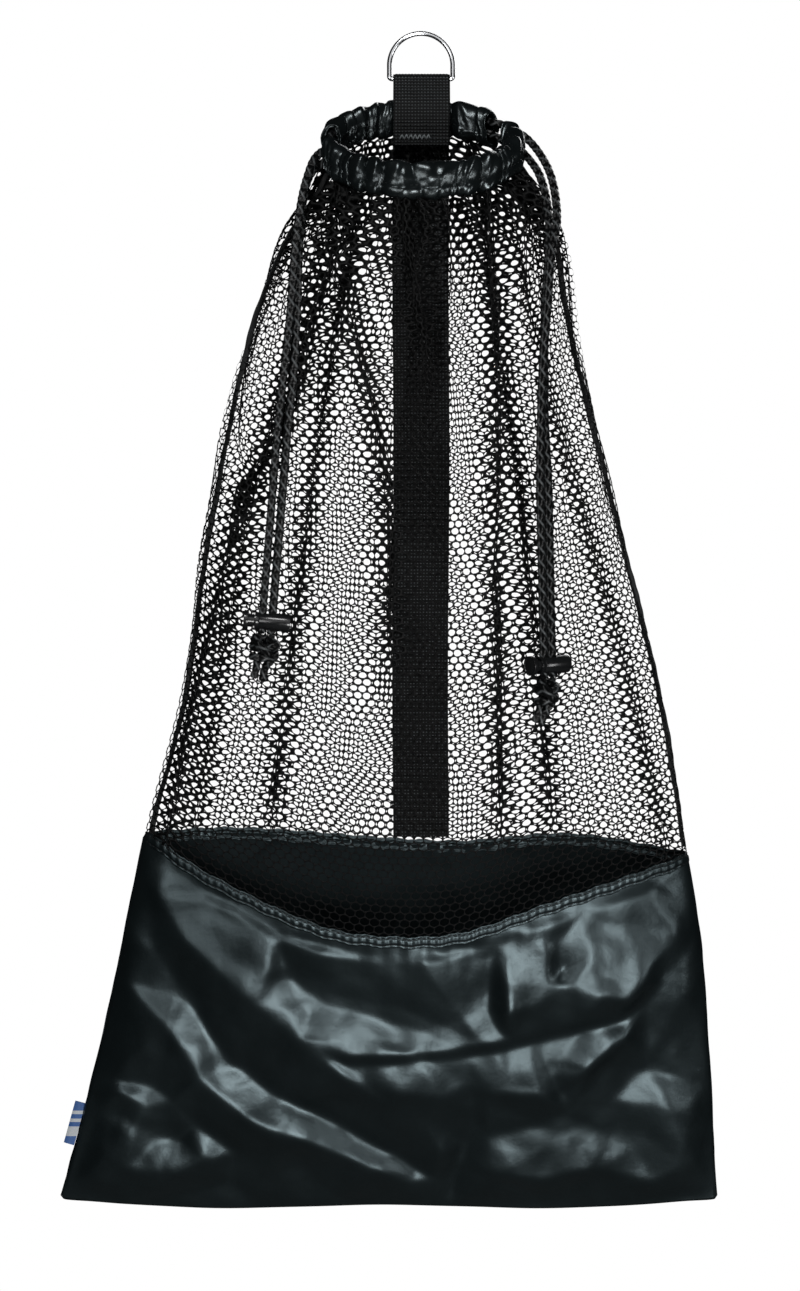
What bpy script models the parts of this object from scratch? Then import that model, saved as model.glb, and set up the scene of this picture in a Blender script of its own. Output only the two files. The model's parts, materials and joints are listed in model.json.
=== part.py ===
"""Mesh laundry bag with an opaque base, a gathered drawcord mouth and a webbing hanger with a D-ring.

Metres, +Z up, front of the bag towards -Y. The origin is the hook point: the inner top of the D-ring.
The bag hangs from the ring's straight bar, so its wall leans back a little below that bar.
"""
import math

import bmesh
import bpy
from mathutils import Matrix, Vector

MM = 0.001
GAP = 0.3 * MM

# D-ring: a round wire bent to a half circle over two short legs and a straight bar
WIRE_RADIUS = 1.6 * MM
RING_ARC_RADIUS = 20.9 * MM
RING_ARC_Z = WIRE_RADIUS - RING_ARC_RADIUS
BAR_Z = -28.4 * MM
RING_CORNER = 1.8 * MM
RING_ARC_POINTS = 28
RING_CORNER_POINTS = 5

# webbing strap: from the inside of the mouth, over the bar, down the outside of the back
WEBBING_WIDTH = 37.4 * MM
WEBBING_THICKNESS = 1.4 * MM
STRAP_INNER_END_Z = -73.0 * MM
STRAP_ARC_POINTS = 9
# how far the mouth's curve brings the casing forwards at the webbing's edges
CASING_CURVE_UNDER_STRAP = 3.0 * MM

# gathered casing: a tube of cloth round the mouth, high at the back and low at the front
CASING_HALF_WIDTH = 60.0 * MM
CASING_HALF_DEPTH = 42.0 * MM
CASING_RISE = 26.0 * MM
CASING_Z = -79.5 * MM
CASING_TALL = 23.0 * MM
CASING_THICK = 12.0 * MM
CASING_WALL = 1.2 * MM
CASING_SECTION_POINTS = 16
CASING_STEPS = 26
CORD_EXITS = {"left": math.radians(-90.0), "right": math.radians(61.0)}
EXIT_HALF_ANGLE = math.radians(13.0)

# the bag's wall: side outlines and half depth against height, front and back from the side seams
BACK_LEAN = 0.092
MOUTH_SIDE_Z = -91.4 * MM
BASE_SIDE_Z = -531.5 * MM
FOOT_SIDE_Z = -774.5 * MM
FOOT_BELLY = 8.0 * MM
LEFT_SIDE = (
    (-0.0914, -0.0610), (-0.1076, -0.0695), (-0.1366, -0.0890), (-0.1970, -0.1130), (-0.3330, -0.1420),
    (-0.4380, -0.1580), (-0.5200, -0.1795), (-0.6590, -0.2110), (-0.7745, -0.2435),
)
RIGHT_SIDE = (
    (-0.0914, 0.0610), (-0.1076, 0.0740), (-0.1366, 0.0885), (-0.2000, 0.0997), (-0.3370, 0.1350),
    (-0.4380, 0.1600), (-0.5300, 0.1756), (-0.6150, 0.1885), (-0.7745, 0.2010),
)
HALF_DEPTH = (
    (-0.0914, 0.0440), (-0.2000, 0.0420), (-0.4000, 0.0400), (-0.5315, 0.0370), (-0.6500, 0.0240),
    (-0.7745, 0.0016),
)
# top edge of the base against X: the front droops, the back stays nearly level
FRONT_EDGE = (
    (-0.1790, -0.5254), (-0.1420, -0.5504), (-0.0660, -0.5850), (-0.0218, -0.5920), (0.0264, -0.5894),
    (0.0799, -0.5716), (0.1340, -0.5537), (0.1769, -0.5392),
)
BACK_EDGE = ((-0.1790, -0.5254), (-0.1200, -0.5240), (0.0200, -0.5333), (0.1000, -0.5280), (0.1769, -0.5392))
MESH_THICKNESS = 0.8 * MM
BASE_THICKNESS = 1.0 * MM
HEM_THICKNESS = 2.0 * MM
HEM_TALL = 8.0 * MM
WALL_COLUMNS = 26
MESH_ROWS = 18
BASE_ROWS = 10
HEM_ROWS = 1

# side label: a folded woven tab in the left seam of the base
LABEL_TOP_Z = -709.5 * MM
LABEL_FOOT_Z = -738.5 * MM
LABEL_STANDS_OUT = 7.0 * MM
LABEL_THICKNESS = 0.8 * MM
LABEL_LEAN = math.radians(15.5)

# drawcords: each runs once round the casing, and its two ends hang as a pair
CORD_RADIUS = 2.8 * MM
CORD_STEP = 13.0 * MM
CORD_BEVEL_RESOLUTION = 2
CHANNEL_HEIGHTS = {"left": -4.2 * MM, "right": 4.2 * MM}
CHANNEL_CLEAR_ANGLE = math.radians(0.5)
STRAND_SPACING = 6.4 * MM
SLACK_ROUTES = {
    "left_cord_front_strand": (
        (-0.0585, -0.0302, -0.0779), (-0.0596, -0.0335, -0.0799), (-0.0643, -0.0390, -0.0815),
        (-0.0697, -0.0466, -0.0880),
        (-0.0735, -0.0520, -0.0985), (-0.0768, -0.0575, -0.1120), (-0.0795, -0.0620, -0.1300),
        (-0.0815, -0.0666, -0.1500), (-0.0842, -0.0684, -0.1870), (-0.0882, -0.0663, -0.2250),
    ),
    "left_cord_back_strand": (
        (-0.0585, -0.0489, -0.0895), (-0.0596, -0.0457, -0.0875), (-0.0625, -0.0415, -0.0880),
        (-0.0679, -0.0387, -0.0914),
        (-0.0730, -0.0410, -0.0985), (-0.0765, -0.0474, -0.1130), (-0.0777, -0.0539, -0.1290),
        (-0.0790, -0.0593, -0.1480), (-0.0802, -0.0625, -0.1870), (-0.0823, -0.0633, -0.2250),
    ),
    "right_cord_front_strand": (
        (0.0446, -0.0115, -0.0579), (0.0475, -0.0138, -0.0593), (0.0540, -0.0162, -0.0612),
        (0.0616, -0.0168, -0.0648),
        (0.0700, -0.0190, -0.0710), (0.0780, -0.0260, -0.0820), (0.0840, -0.0357, -0.0960),
        (0.0870, -0.0454, -0.1130), (0.0872, -0.0543, -0.1300), (0.0835, -0.0620, -0.1500),
        (0.0812, -0.0642, -0.1800), (0.0785, -0.0649, -0.2150), (0.0768, -0.0656, -0.2550),
    ),
    "right_cord_back_strand": (
        (0.0577, -0.0280, -0.0681), (0.0564, -0.0248, -0.0661), (0.0580, -0.0205, -0.0668),
        (0.0612, -0.0186, -0.0712),
        (0.0655, -0.0202, -0.0780), (0.0712, -0.0252, -0.0855), (0.0765, -0.0333, -0.0950),
        (0.0805, -0.0416, -0.1100),
        (0.0825, -0.0485, -0.1280), (0.0820, -0.0554, -0.1500), (0.0800, -0.0577, -0.1800),
        (0.0790, -0.0586, -0.2150), (0.0792, -0.0600, -0.2550),
    ),
}
# where the two strands of a pair run straight and side by side, top to bottom, through the cord lock
PAIR_TOP = {"left": (-0.0891, -0.0632, -0.2600), "right": (0.0790, -0.0611, -0.3000)}
PAIR_FOOT = {"left": (-0.1006, -0.0493, -0.3950), "right": (0.0818, -0.0538, -0.4230)}
# how far a lock's axis is turned about the vertical: its button points left, and forwards on the right side
LOCK_TURN = {"left": 0.0, "right": math.radians(35.0)}

# cord lock: a barrel closed at one end, a button that slides in its bore, and a spring behind the button;
# stations run along the barrel's axis from its open rim
LOCK_ABOVE_KNOT = 8.3 * MM
LOCK_CORD_STATION = 8.0 * MM
BARREL_LENGTH = 23.0 * MM
BARREL_RADIUS = 5.8 * MM
BARREL_BORE = 4.65 * MM
BARREL_FLOOR = 21.5 * MM
BARREL_EDGE = 0.7 * MM
BARREL_SLOT = (1.5 * MM, 14.5 * MM)
SLOT_RADIUS = 3.15 * MM
BUTTON_RADIUS = 6.35 * MM
BUTTON_STEM = 4.35 * MM
BUTTON_FACE = -7.0 * MM
BUTTON_UNDERSIDE = -4.2 * MM
BUTTON_END = 15.7 * MM
BUTTON_SLOT = (-2.2 * MM, 14.3 * MM)
SPRING_RADIUS = 3.0 * MM
SPRING_WIRE = 0.3 * MM
SPRING_TURNS = 3
SPRING_POINTS_PER_TURN = 10
LATHE_SEGMENTS = 24
SLOT_ARC_POINTS = 8

# knot: both ends of a cord tied together, with their tails hanging out below
KNOT_PROFILE = (
    (0.0, 6.6), (2.5, 9.2), (6.5, 10.8), (10.5, 10.6), (14.5, 8.6), (17.5, 6.2), (21.0, 5.2), (29.0, 5.0),
    (31.0, 3.8),
)
KNOT_SEGMENTS = 16
KNOT_WIDTH = {"left": 1.15, "right": 0.88}
KNOT_TAIL_SWING = {"left": -3.0 * MM, "right": -8.0 * MM}

MATERIALS = {
    "chrome": ((0.80, 0.80, 0.80), 0.15, 1.0),
    "webbing": ((0.012, 0.013, 0.014), 0.75, 0.0),
    "casing_nylon": ((0.020, 0.024, 0.027), 0.35, 0.0),
    "net": ((0.010, 0.010, 0.011), 0.70, 0.0),
    "base_nylon": ((0.018, 0.022, 0.024), 0.38, 0.0),
    "cord": ((0.012, 0.012, 0.013), 0.80, 0.0),
    "lock_plastic": ((0.010, 0.011, 0.012), 0.22, 0.0),
    "spring_steel": ((0.55, 0.55, 0.56), 0.30, 1.0),
    "label_cloth": ((0.05, 0.16, 0.42), 0.70, 0.0),
}


def clear_scene():
    for leftover in list(bpy.data.objects):
        bpy.data.objects.remove(leftover, do_unlink=True)


def material(name):
    found = bpy.data.materials.get(name)
    if found:
        return found
    colour, roughness, metallic = MATERIALS[name]
    made = bpy.data.materials.new(name)
    made.use_nodes = True
    shader = made.node_tree.nodes["Principled BSDF"]
    shader.inputs["Base Color"].default_value = (*colour, 1.0)
    shader.inputs["Roughness"].default_value = roughness
    shader.inputs["Metallic"].default_value = metallic
    return made


def add_mesh(name, vertices, faces, finish, smooth=True):
    mesh = bpy.data.meshes.new(name)
    mesh.from_pydata([tuple(v) for v in vertices], [], faces)
    if smooth:
        mesh.shade_smooth()
        mesh.set_sharp_from_angle(angle=math.radians(40.0))
    mesh.materials.append(material(finish))
    made = bpy.data.objects.new(name, mesh)
    bpy.context.collection.objects.link(made)
    return made


def add_tube(name, points, radius, finish, cyclic=False, resolution=CORD_BEVEL_RESOLUTION):
    curve = bpy.data.curves.new(name, "CURVE")
    curve.dimensions = "3D"
    curve.bevel_depth = radius
    curve.bevel_resolution = resolution
    curve.use_fill_caps = not cyclic
    spline = curve.splines.new("POLY")
    spline.points.add(len(points) - 1)
    for slot, point in zip(spline.points, points):
        slot.co = (*point, 1.0)
    spline.use_cyclic_u = cyclic
    spline.use_smooth = True
    curve.materials.append(material(finish))
    made = bpy.data.objects.new(name, curve)
    bpy.context.collection.objects.link(made)
    return made


def along(outline, at):
    """Smooth value at a station, through an outline's (station, value) points."""
    points = sorted(outline)
    at = min(max(at, points[0][0]), points[-1][0])
    i = max(j for j in range(len(points) - 1) if points[j][0] <= at)

    def slope(k):
        a, b = points[max(k - 1, 0)], points[min(k + 1, len(points) - 1)]
        return (b[1] - a[1]) / (b[0] - a[0])

    (x0, y0), (x1, y1) = points[i], points[i + 1]
    h = x1 - x0
    s = (at - x0) / h
    rise = (2 * s**3 - 3 * s**2 + 1) * y0 + (3 * s**2 - 2 * s**3) * y1
    return rise + h * ((s**3 - 2 * s**2 + s) * slope(i) + (s**3 - s**2) * slope(i + 1))


def smooth_route(route, step):
    """Points a step apart on the smooth curve through a cord's route."""
    route = [Vector(p) for p in route]
    fine = []
    for i in range(len(route) - 1):
        before = route[max(i - 1, 0)]
        a, b = route[i], route[i + 1]
        after = route[min(i + 2, len(route) - 1)]
        span = (b - a).length
        leave = (b - before) * (span / max((b - a).length + (a - before).length, 1e-9))
        arrive = (after - a) * (span / max((after - b).length + span, 1e-9))
        for k in range(12):
            s = k / 12
            fine.append(
                (2 * s**3 - 3 * s**2 + 1) * a
                + (3 * s**2 - 2 * s**3) * b
                + (s**3 - 2 * s**2 + s) * leave
                + (s**3 - s**2) * arrive
            )
    fine.append(route[-1])
    length = sum((q - p).length for p, q in zip(fine, fine[1:]))
    count = max(2, round(length / step))
    points, walked, target = [fine[0]], 0.0, length / count
    for p, q in zip(fine, fine[1:]):
        piece = (q - p).length
        while walked + piece >= target * len(points) and len(points) < count:
            points.append(p.lerp(q, (target * len(points) - walked) / piece))
        walked += piece
    return points + [fine[-1]]


# ---------------------------------------------------------------- D-ring

def build_d_ring():
    points = []
    for i in range(RING_ARC_POINTS + 1):
        turn = math.pi * i / RING_ARC_POINTS
        points.append((RING_ARC_RADIUS * math.cos(turn), 0.0, RING_ARC_Z + RING_ARC_RADIUS * math.sin(turn)))
    inner = RING_ARC_RADIUS - RING_CORNER
    for centre_x, start in ((-inner, math.pi), (inner, 1.5 * math.pi)):
        for i in range(RING_CORNER_POINTS + 1):
            turn = start + 0.5 * math.pi * i / RING_CORNER_POINTS
            x = centre_x + RING_CORNER * math.cos(turn)
            points.append((x, 0.0, BAR_Z + RING_CORNER + RING_CORNER * math.sin(turn)))
    add_tube("d_ring", points, WIRE_RADIUS, "chrome", cyclic=True)


# ---------------------------------------------------------------- casing

def casing_centre(angle):
    back_y = BACK_LEAN * (BAR_Z - CASING_Z - CASING_RISE)
    return Vector((
        CASING_HALF_WIDTH * math.sin(angle),
        back_y - CASING_HALF_DEPTH + CASING_HALF_DEPTH * math.cos(angle),
        CASING_Z + CASING_RISE * math.cos(angle),
    ))


def casing_outwards(angle):
    return Vector((CASING_HALF_DEPTH * math.sin(angle), CASING_HALF_WIDTH * math.cos(angle), 0.0)).normalized()


def build_casing(name, start, end):
    """A hollow tube of cloth between two cord exits; the drawcords run inside it."""
    vertices, faces = [], []
    count = CASING_SECTION_POINTS
    for step in range(CASING_STEPS + 1):
        angle = start + (end - start) * step / CASING_STEPS
        centre, out = casing_centre(angle), casing_outwards(angle)
        for inset in (0.0, CASING_WALL):
            for i in range(count):
                turn = 2 * math.pi * i / count
                across = (CASING_THICK / 2 - inset) * math.copysign(abs(math.cos(turn)) ** 0.7, math.cos(turn))
                up = (CASING_TALL / 2 - inset) * math.copysign(abs(math.sin(turn)) ** 0.7, math.sin(turn))
                vertices.append(centre + out * across + Vector((0.0, 0.0, up)))
    ring = 2 * count
    for step in range(CASING_STEPS):
        a, b = step * ring, (step + 1) * ring
        for i in range(count):
            j = (i + 1) % count
            faces.append((a + i, b + i, b + j, a + j))
            faces.append((a + count + i, a + count + j, b + count + j, b + count + i))
    last = CASING_STEPS * ring
    for i in range(count):
        j = (i + 1) % count
        faces.append((i, j, count + j, count + i))
        faces.append((last + i, last + count + i, last + count + j, last + j))
    made = add_mesh(name, vertices, faces, "casing_nylon")
    face_outwards(made)
    return made


def face_outwards(made):
    shape = bmesh.new()
    shape.from_mesh(made.data)
    bmesh.ops.recalc_face_normals(shape, faces=shape.faces)
    shape.to_mesh(made.data)
    shape.free()


# ---------------------------------------------------------------- walls of the bag

def wall_point(angle, side_z, z, inset):
    """A point of the bag's wall: angle 0 at the back, 90 degrees at +X, 180 at the front."""
    left, right = along(LEFT_SIDE, side_z), along(RIGHT_SIDE, side_z)
    depth = along(HALF_DEPTH, side_z)
    middle_y = BACK_LEAN * (BAR_Z - side_z) - depth
    bulge = GAP / 2 + (depth - min(inset, depth - 0.5 * GAP)) * abs(math.cos(angle))
    x = (left + right) / 2 + ((right - left) / 2 - inset) * math.sin(angle)
    return Vector((x, middle_y + math.copysign(bulge, math.cos(angle)), z))


def mouth_z(angle):
    return CASING_Z + CASING_RISE * math.cos(angle) - CASING_TALL / 2 - GAP


def base_z(angle):
    left, right = along(LEFT_SIDE, BASE_SIDE_Z), along(RIGHT_SIDE, BASE_SIDE_Z)
    x = (left + right) / 2 + (right - left) / 2 * math.sin(angle)
    return along(BACK_EDGE if math.cos(angle) > 0 else FRONT_EDGE, x)


def foot_z(angle):
    return FOOT_SIDE_Z - FOOT_BELLY * abs(math.cos(angle)) ** 0.5


def build_wall(name, front, top, foot, sides, thickness, rows, finish):
    """A curved panel from one side seam to the other, between two edges given by their heights."""
    vertices, faces = [], []
    middle = math.pi if front else 0.0
    for row in range(rows + 1):
        part = row / rows
        side_z = sides[0] + (sides[1] - sides[0]) * part
        for column in range(WALL_COLUMNS + 1):
            angle = middle + math.pi * (column / WALL_COLUMNS - 0.5) * 0.99999
            z = top(angle) + (foot(angle) - top(angle)) * part
            vertices.append(wall_point(angle, side_z, z, 0.0))
            vertices.append(wall_point(angle, side_z, z, thickness))
    across = 2 * (WALL_COLUMNS + 1)
    for row in range(rows):
        for column in range(WALL_COLUMNS):
            a = row * across + 2 * column
            b = a + across
            faces.append((a, a + 2, b + 2, b))
            faces.append((a + 1, b + 1, b + 3, a + 3))
    for row in range(rows):
        for a in (row * across, row * across + 2 * WALL_COLUMNS):
            faces.append((a, a + 1, a + across + 1, a + across))
    for column in range(WALL_COLUMNS):
        for a in (2 * column, rows * across + 2 * column):
            faces.append((a, a + 1, a + 3, a + 2))
    made = add_mesh(name, vertices, faces, finish)
    face_outwards(made)
    return made


def build_walls():
    seam_z = BASE_SIDE_Z - HEM_TALL
    for side, front in (("front", True), ("back", False)):
        build_wall(
            f"{side}_mesh", front, mouth_z, lambda a: base_z(a) + GAP,
            (MOUTH_SIDE_Z, BASE_SIDE_Z), MESH_THICKNESS, MESH_ROWS, "net",
        )
        build_wall(
            f"{side}_base_hem", front, base_z, lambda a: base_z(a) - HEM_TALL,
            (BASE_SIDE_Z, seam_z), HEM_THICKNESS, HEM_ROWS, "base_nylon",
        )
        build_wall(
            f"{side}_base_panel", front, lambda a: base_z(a) - HEM_TALL - GAP, foot_z,
            (seam_z - GAP, FOOT_SIDE_Z), BASE_THICKNESS, BASE_ROWS, "base_nylon",
        )


def back_wall_y(z):
    """How far back the outer face of the wall lies at the middle of the back."""
    part = (mouth_z(0.0) - z) / (mouth_z(0.0) - base_z(0.0))
    side_z = MOUTH_SIDE_Z + (BASE_SIDE_Z - MOUTH_SIDE_Z) * min(max(part, 0.0), 1.0)
    return wall_point(0.0, side_z, z, 0.0).y


# ---------------------------------------------------------------- webbing strap

def build_strap():
    """One length of webbing, drawn as its centreline in the YZ plane and given width and thickness."""
    reach = WIRE_RADIUS + GAP + WEBBING_THICKNESS / 2
    casing = casing_centre(0.0)
    stand_off = CASING_THICK / 2 + GAP + WEBBING_THICKNESS / 2
    casing_top, casing_foot = casing.z + CASING_TALL / 2, casing.z - CASING_TALL / 2
    inner_y = casing.y - stand_off - CASING_CURVE_UNDER_STRAP
    line = [
        (inner_y, STRAP_INNER_END_Z),
        (inner_y, casing_foot),
        (inner_y, casing.z + 0.2 * CASING_TALL),
        (0.85 * inner_y, casing_top + 1.0 * MM),
    ]
    for i in range(STRAP_ARC_POINTS):
        turn = math.pi * (1 - i / (STRAP_ARC_POINTS - 1))
        line.append((reach * math.cos(turn), BAR_Z + reach * math.sin(turn)))
    line += [
        (casing.y + 0.8 * stand_off, casing_top + 2.0 * MM),
        (casing.y + stand_off, casing.z + 0.2 * CASING_TALL),
        (casing.y + stand_off, casing_foot),
    ]
    lowest = base_z(0.0) + 4 * GAP
    falls = 10
    for i in range(1, falls + 1):
        z = casing_foot - 10.0 * MM + (lowest - casing_foot + 10.0 * MM) * i / falls
        line.append((back_wall_y(z) + 2 * GAP + WEBBING_THICKNESS / 2, z))
    vertices, faces = [], []
    for i, (y, z) in enumerate(line):
        before, after = line[max(i - 1, 0)], line[min(i + 1, len(line) - 1)]
        run = Vector((0.0, after[0] - before[0], after[1] - before[1])).normalized()
        aside = Vector((0.0, run.z, -run.y)) * (WEBBING_THICKNESS / 2)
        for x in (-WEBBING_WIDTH / 2, WEBBING_WIDTH / 2):
            vertices.append(Vector((x, y, z)) - aside)
            vertices.append(Vector((x, y, z)) + aside)
    for i in range(len(line) - 1):
        a, b = 4 * i, 4 * i + 4
        faces += [(a, b, b + 2, a + 2), (a + 1, a + 3, b + 3, b + 1), (a, a + 1, b + 1, b),
                  (a + 2, b + 2, b + 3, a + 3)]
    last = 4 * (len(line) - 1)
    faces += [(0, 2, 3, 1), (last, last + 1, last + 3, last + 2)]
    face_outwards(add_mesh("strap_webbing", vertices, faces, "webbing"))


# ---------------------------------------------------------------- label

def build_label():
    middle_z = (LABEL_TOP_Z + LABEL_FOOT_Z) / 2
    seam = wall_point(-math.pi / 2, middle_z, middle_z, 0.0)
    seam_y = BACK_LEAN * (BAR_Z - middle_z) - along(HALF_DEPTH, middle_z)
    bpy.ops.mesh.primitive_cube_add(size=1.0)
    label = bpy.context.object
    label.name = label.data.name = "side_label"
    label.scale = (LABEL_STANDS_OUT, LABEL_THICKNESS, LABEL_TOP_Z - LABEL_FOOT_Z)
    label.rotation_euler = (0.0, LABEL_LEAN, 0.0)
    label.location = (seam.x - LABEL_STANDS_OUT / 2 - 2 * GAP, seam_y, middle_z)
    label.data.materials.append(material("label_cloth"))


# ---------------------------------------------------------------- drawcords

def lock_frame(side):
    """Axes of a cord pair: the way up along it, the barrel's axis, and the third way."""
    top, foot = Vector(PAIR_TOP[side]), Vector(PAIR_FOOT[side])
    up = (top - foot).normalized()
    turn = LOCK_TURN[side]
    axis = Vector((math.cos(turn), math.sin(turn), 0.0))
    axis = (axis - up * axis.dot(up)).normalized()
    return up, axis, up.cross(axis)


def build_cord(side):
    exit_angle = CORD_EXITS[side]
    height = Vector((0.0, 0.0, CHANNEL_HEIGHTS[side]))
    start = exit_angle + EXIT_HALF_ANGLE + CHANNEL_CLEAR_ANGLE
    sweep = 2 * math.pi - 2 * (EXIT_HALF_ANGLE + CHANNEL_CLEAR_ANGLE)
    count = 26
    run = [casing_centre(start + sweep * i / count) + height for i in range(count + 1)]
    add_tube(f"{side}_cord_channel_run", run, CORD_RADIUS, "cord")
    up, axis, _ = lock_frame(side)
    top, foot = Vector(PAIR_TOP[side]), Vector(PAIR_FOOT[side]) + up * GAP
    for strand, sign in (("front", -1), ("back", 1)):
        name = f"{side}_cord_{strand}_strand"
        aside = axis * (sign * STRAND_SPACING / 2)
        straight = [top.lerp(foot, part) + aside for part in (0.0, 0.25, 0.5, 0.75, 1.0)]
        route = [Vector(p) for p in SLACK_ROUTES[name]] + straight
        add_tube(name, route[:1] + smooth_route(route[1:], CORD_STEP), CORD_RADIUS, "cord")


def build_knot(side):
    up, _, _ = lock_frame(side)
    top = Vector(PAIR_FOOT[side])
    aside, ahead = Vector((1.0, 0.0, 0.0)), Vector((0.0, 1.0, 0.0))
    vertices, faces = [], []
    length = KNOT_PROFILE[-1][0] * MM
    for station, radius in KNOT_PROFILE:
        swing = aside * (KNOT_TAIL_SWING[side] * (station * MM / length) ** 2)
        centre = top - up * (station * MM) + swing
        for i in range(KNOT_SEGMENTS):
            turn = 2 * math.pi * i / KNOT_SEGMENTS
            across = aside * (math.cos(turn) * KNOT_WIDTH[side]) + ahead * (math.sin(turn) * 0.85)
            level = across - up * across.dot(up)
            vertices.append(centre + level * (radius * MM))
    for row in range(len(KNOT_PROFILE) - 1):
        a, b = row * KNOT_SEGMENTS, (row + 1) * KNOT_SEGMENTS
        for i in range(KNOT_SEGMENTS):
            j = (i + 1) % KNOT_SEGMENTS
            faces.append((a + i, a + j, b + j, b + i))
    faces.append(tuple(range(KNOT_SEGMENTS)))
    faces.append(tuple(range(len(vertices) - KNOT_SEGMENTS, len(vertices))))
    face_outwards(add_mesh(f"{side}_cord_knot", vertices, faces, "cord"))


# ---------------------------------------------------------------- cord locks

def add_turned(name, profile, place, finish):
    """A turned solid on its own X axis: profile is (station, radius), closed on the axis at both ends."""
    vertices, faces, rings = [], [], []
    for station, radius in profile:
        if radius == 0.0:
            rings.append([len(vertices)])
            vertices.append(Vector((station, 0.0, 0.0)))
            continue
        rings.append(list(range(len(vertices), len(vertices) + LATHE_SEGMENTS)))
        for i in range(LATHE_SEGMENTS):
            turn = 2 * math.pi * i / LATHE_SEGMENTS
            vertices.append(Vector((station, radius * math.cos(turn), radius * math.sin(turn))))
    for a, b in zip(rings, rings[1:]):
        for i in range(LATHE_SEGMENTS):
            j = (i + 1) % LATHE_SEGMENTS
            if len(a) == 1:
                faces.append((a[0], b[i], b[j]))
            elif len(b) == 1:
                faces.append((a[i], a[j], b[0]))
            else:
                faces.append((a[i], a[j], b[j], b[i]))
    made = add_mesh(name, vertices, faces, finish)
    face_outwards(made)
    made.matrix_world = place
    return made


def add_slot_cutter(name, slot, place):
    """A cutter for the cord hole: long along the lock's axis, with round ends, right through its Z."""
    vertices, faces = [], []
    outline = []
    for centre, start in ((slot[1] - SLOT_RADIUS, -0.5 * math.pi), (slot[0] + SLOT_RADIUS, 0.5 * math.pi)):
        for i in range(SLOT_ARC_POINTS + 1):
            turn = start + math.pi * i / SLOT_ARC_POINTS
            outline.append((centre + SLOT_RADIUS * math.cos(turn), SLOT_RADIUS * math.sin(turn)))
    count = len(outline)
    for z in (-2 * BUTTON_RADIUS, 2 * BUTTON_RADIUS):
        vertices += [Vector((x, y, z)) for x, y in outline]
    for i in range(count):
        j = (i + 1) % count
        faces.append((i, j, count + j, count + i))
    faces += [tuple(range(count))[::-1], tuple(range(count, 2 * count))]
    cutter = add_mesh(name, vertices, faces, "lock_plastic", smooth=False)
    face_outwards(cutter)
    cutter.matrix_world = place
    cutter.hide_render = True
    cutter.display_type = "WIRE"
    return cutter


def cut(body, cutter):
    modifier = body.modifiers.new("cord_hole", "BOOLEAN")
    modifier.operation = "DIFFERENCE"
    modifier.object = cutter


def build_lock(side):
    up, axis, third = lock_frame(side)
    place = Matrix.Translation(Vector(PAIR_FOOT[side]) + up * LOCK_ABOVE_KNOT - axis * LOCK_CORD_STATION)
    place = place @ Matrix((axis, -third, up)).transposed().to_4x4()
    barrel = add_turned(
        f"{side}_lock_barrel",
        (
            (BARREL_FLOOR, 0.0), (BARREL_FLOOR, BARREL_BORE), (0.0, BARREL_BORE),
            (0.0, BARREL_RADIUS - BARREL_EDGE / 2), (BARREL_EDGE, BARREL_RADIUS),
            (BARREL_LENGTH - 2 * BARREL_EDGE, BARREL_RADIUS), (BARREL_LENGTH, BARREL_RADIUS - 2 * BARREL_EDGE),
            (BARREL_LENGTH, 0.0),
        ),
        place, "lock_plastic",
    )
    cut(barrel, add_slot_cutter(f"{side}_barrel_slot_cutter", BARREL_SLOT, place))
    face, under = BUTTON_FACE, BUTTON_UNDERSIDE
    button = add_turned(
        f"{side}_lock_button",
        (
            (face, 0.0), (face + 0.15 * MM, 0.45 * BUTTON_RADIUS), (face + 0.7 * MM, 0.78 * BUTTON_RADIUS),
            (face + 1.6 * MM, 0.96 * BUTTON_RADIUS), (face + 2.2 * MM, BUTTON_RADIUS),
            (under, BUTTON_RADIUS - 0.3 * MM), (under, BUTTON_STEM), (BUTTON_END, BUTTON_STEM), (BUTTON_END, 0.0),
        ),
        place, "lock_plastic",
    )
    cut(button, add_slot_cutter(f"{side}_button_slot_cutter", BUTTON_SLOT, place))
    first, last = BUTTON_END + SPRING_WIRE + GAP, BARREL_FLOOR - SPRING_WIRE - GAP
    turns = SPRING_TURNS * SPRING_POINTS_PER_TURN
    coil = []
    for i in range(turns + 1):
        turn = 2 * math.pi * i / SPRING_POINTS_PER_TURN
        station = first + (last - first) * i / turns
        coil.append(place @ Vector((station, SPRING_RADIUS * math.cos(turn), SPRING_RADIUS * math.sin(turn))))
    add_tube(f"{side}_lock_spring", coil, SPRING_WIRE, "spring_steel", resolution=0)


clear_scene()
build_d_ring()
build_strap()
left_exit, right_exit = CORD_EXITS["left"], CORD_EXITS["right"]
build_casing("back_casing", left_exit + EXIT_HALF_ANGLE, right_exit - EXIT_HALF_ANGLE)
build_casing("front_casing", right_exit + EXIT_HALF_ANGLE, left_exit + 2 * math.pi - EXIT_HALF_ANGLE)
build_walls()
build_label()
for bag_side in ("left", "right"):
    build_cord(bag_side)
    build_knot(bag_side)
    build_lock(bag_side)
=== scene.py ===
import json
import math
import random

import bmesh
import bpy
import numpy as np
from mathutils import Matrix, Vector
from mathutils.geometry import delaunay_2d_cdt


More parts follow.
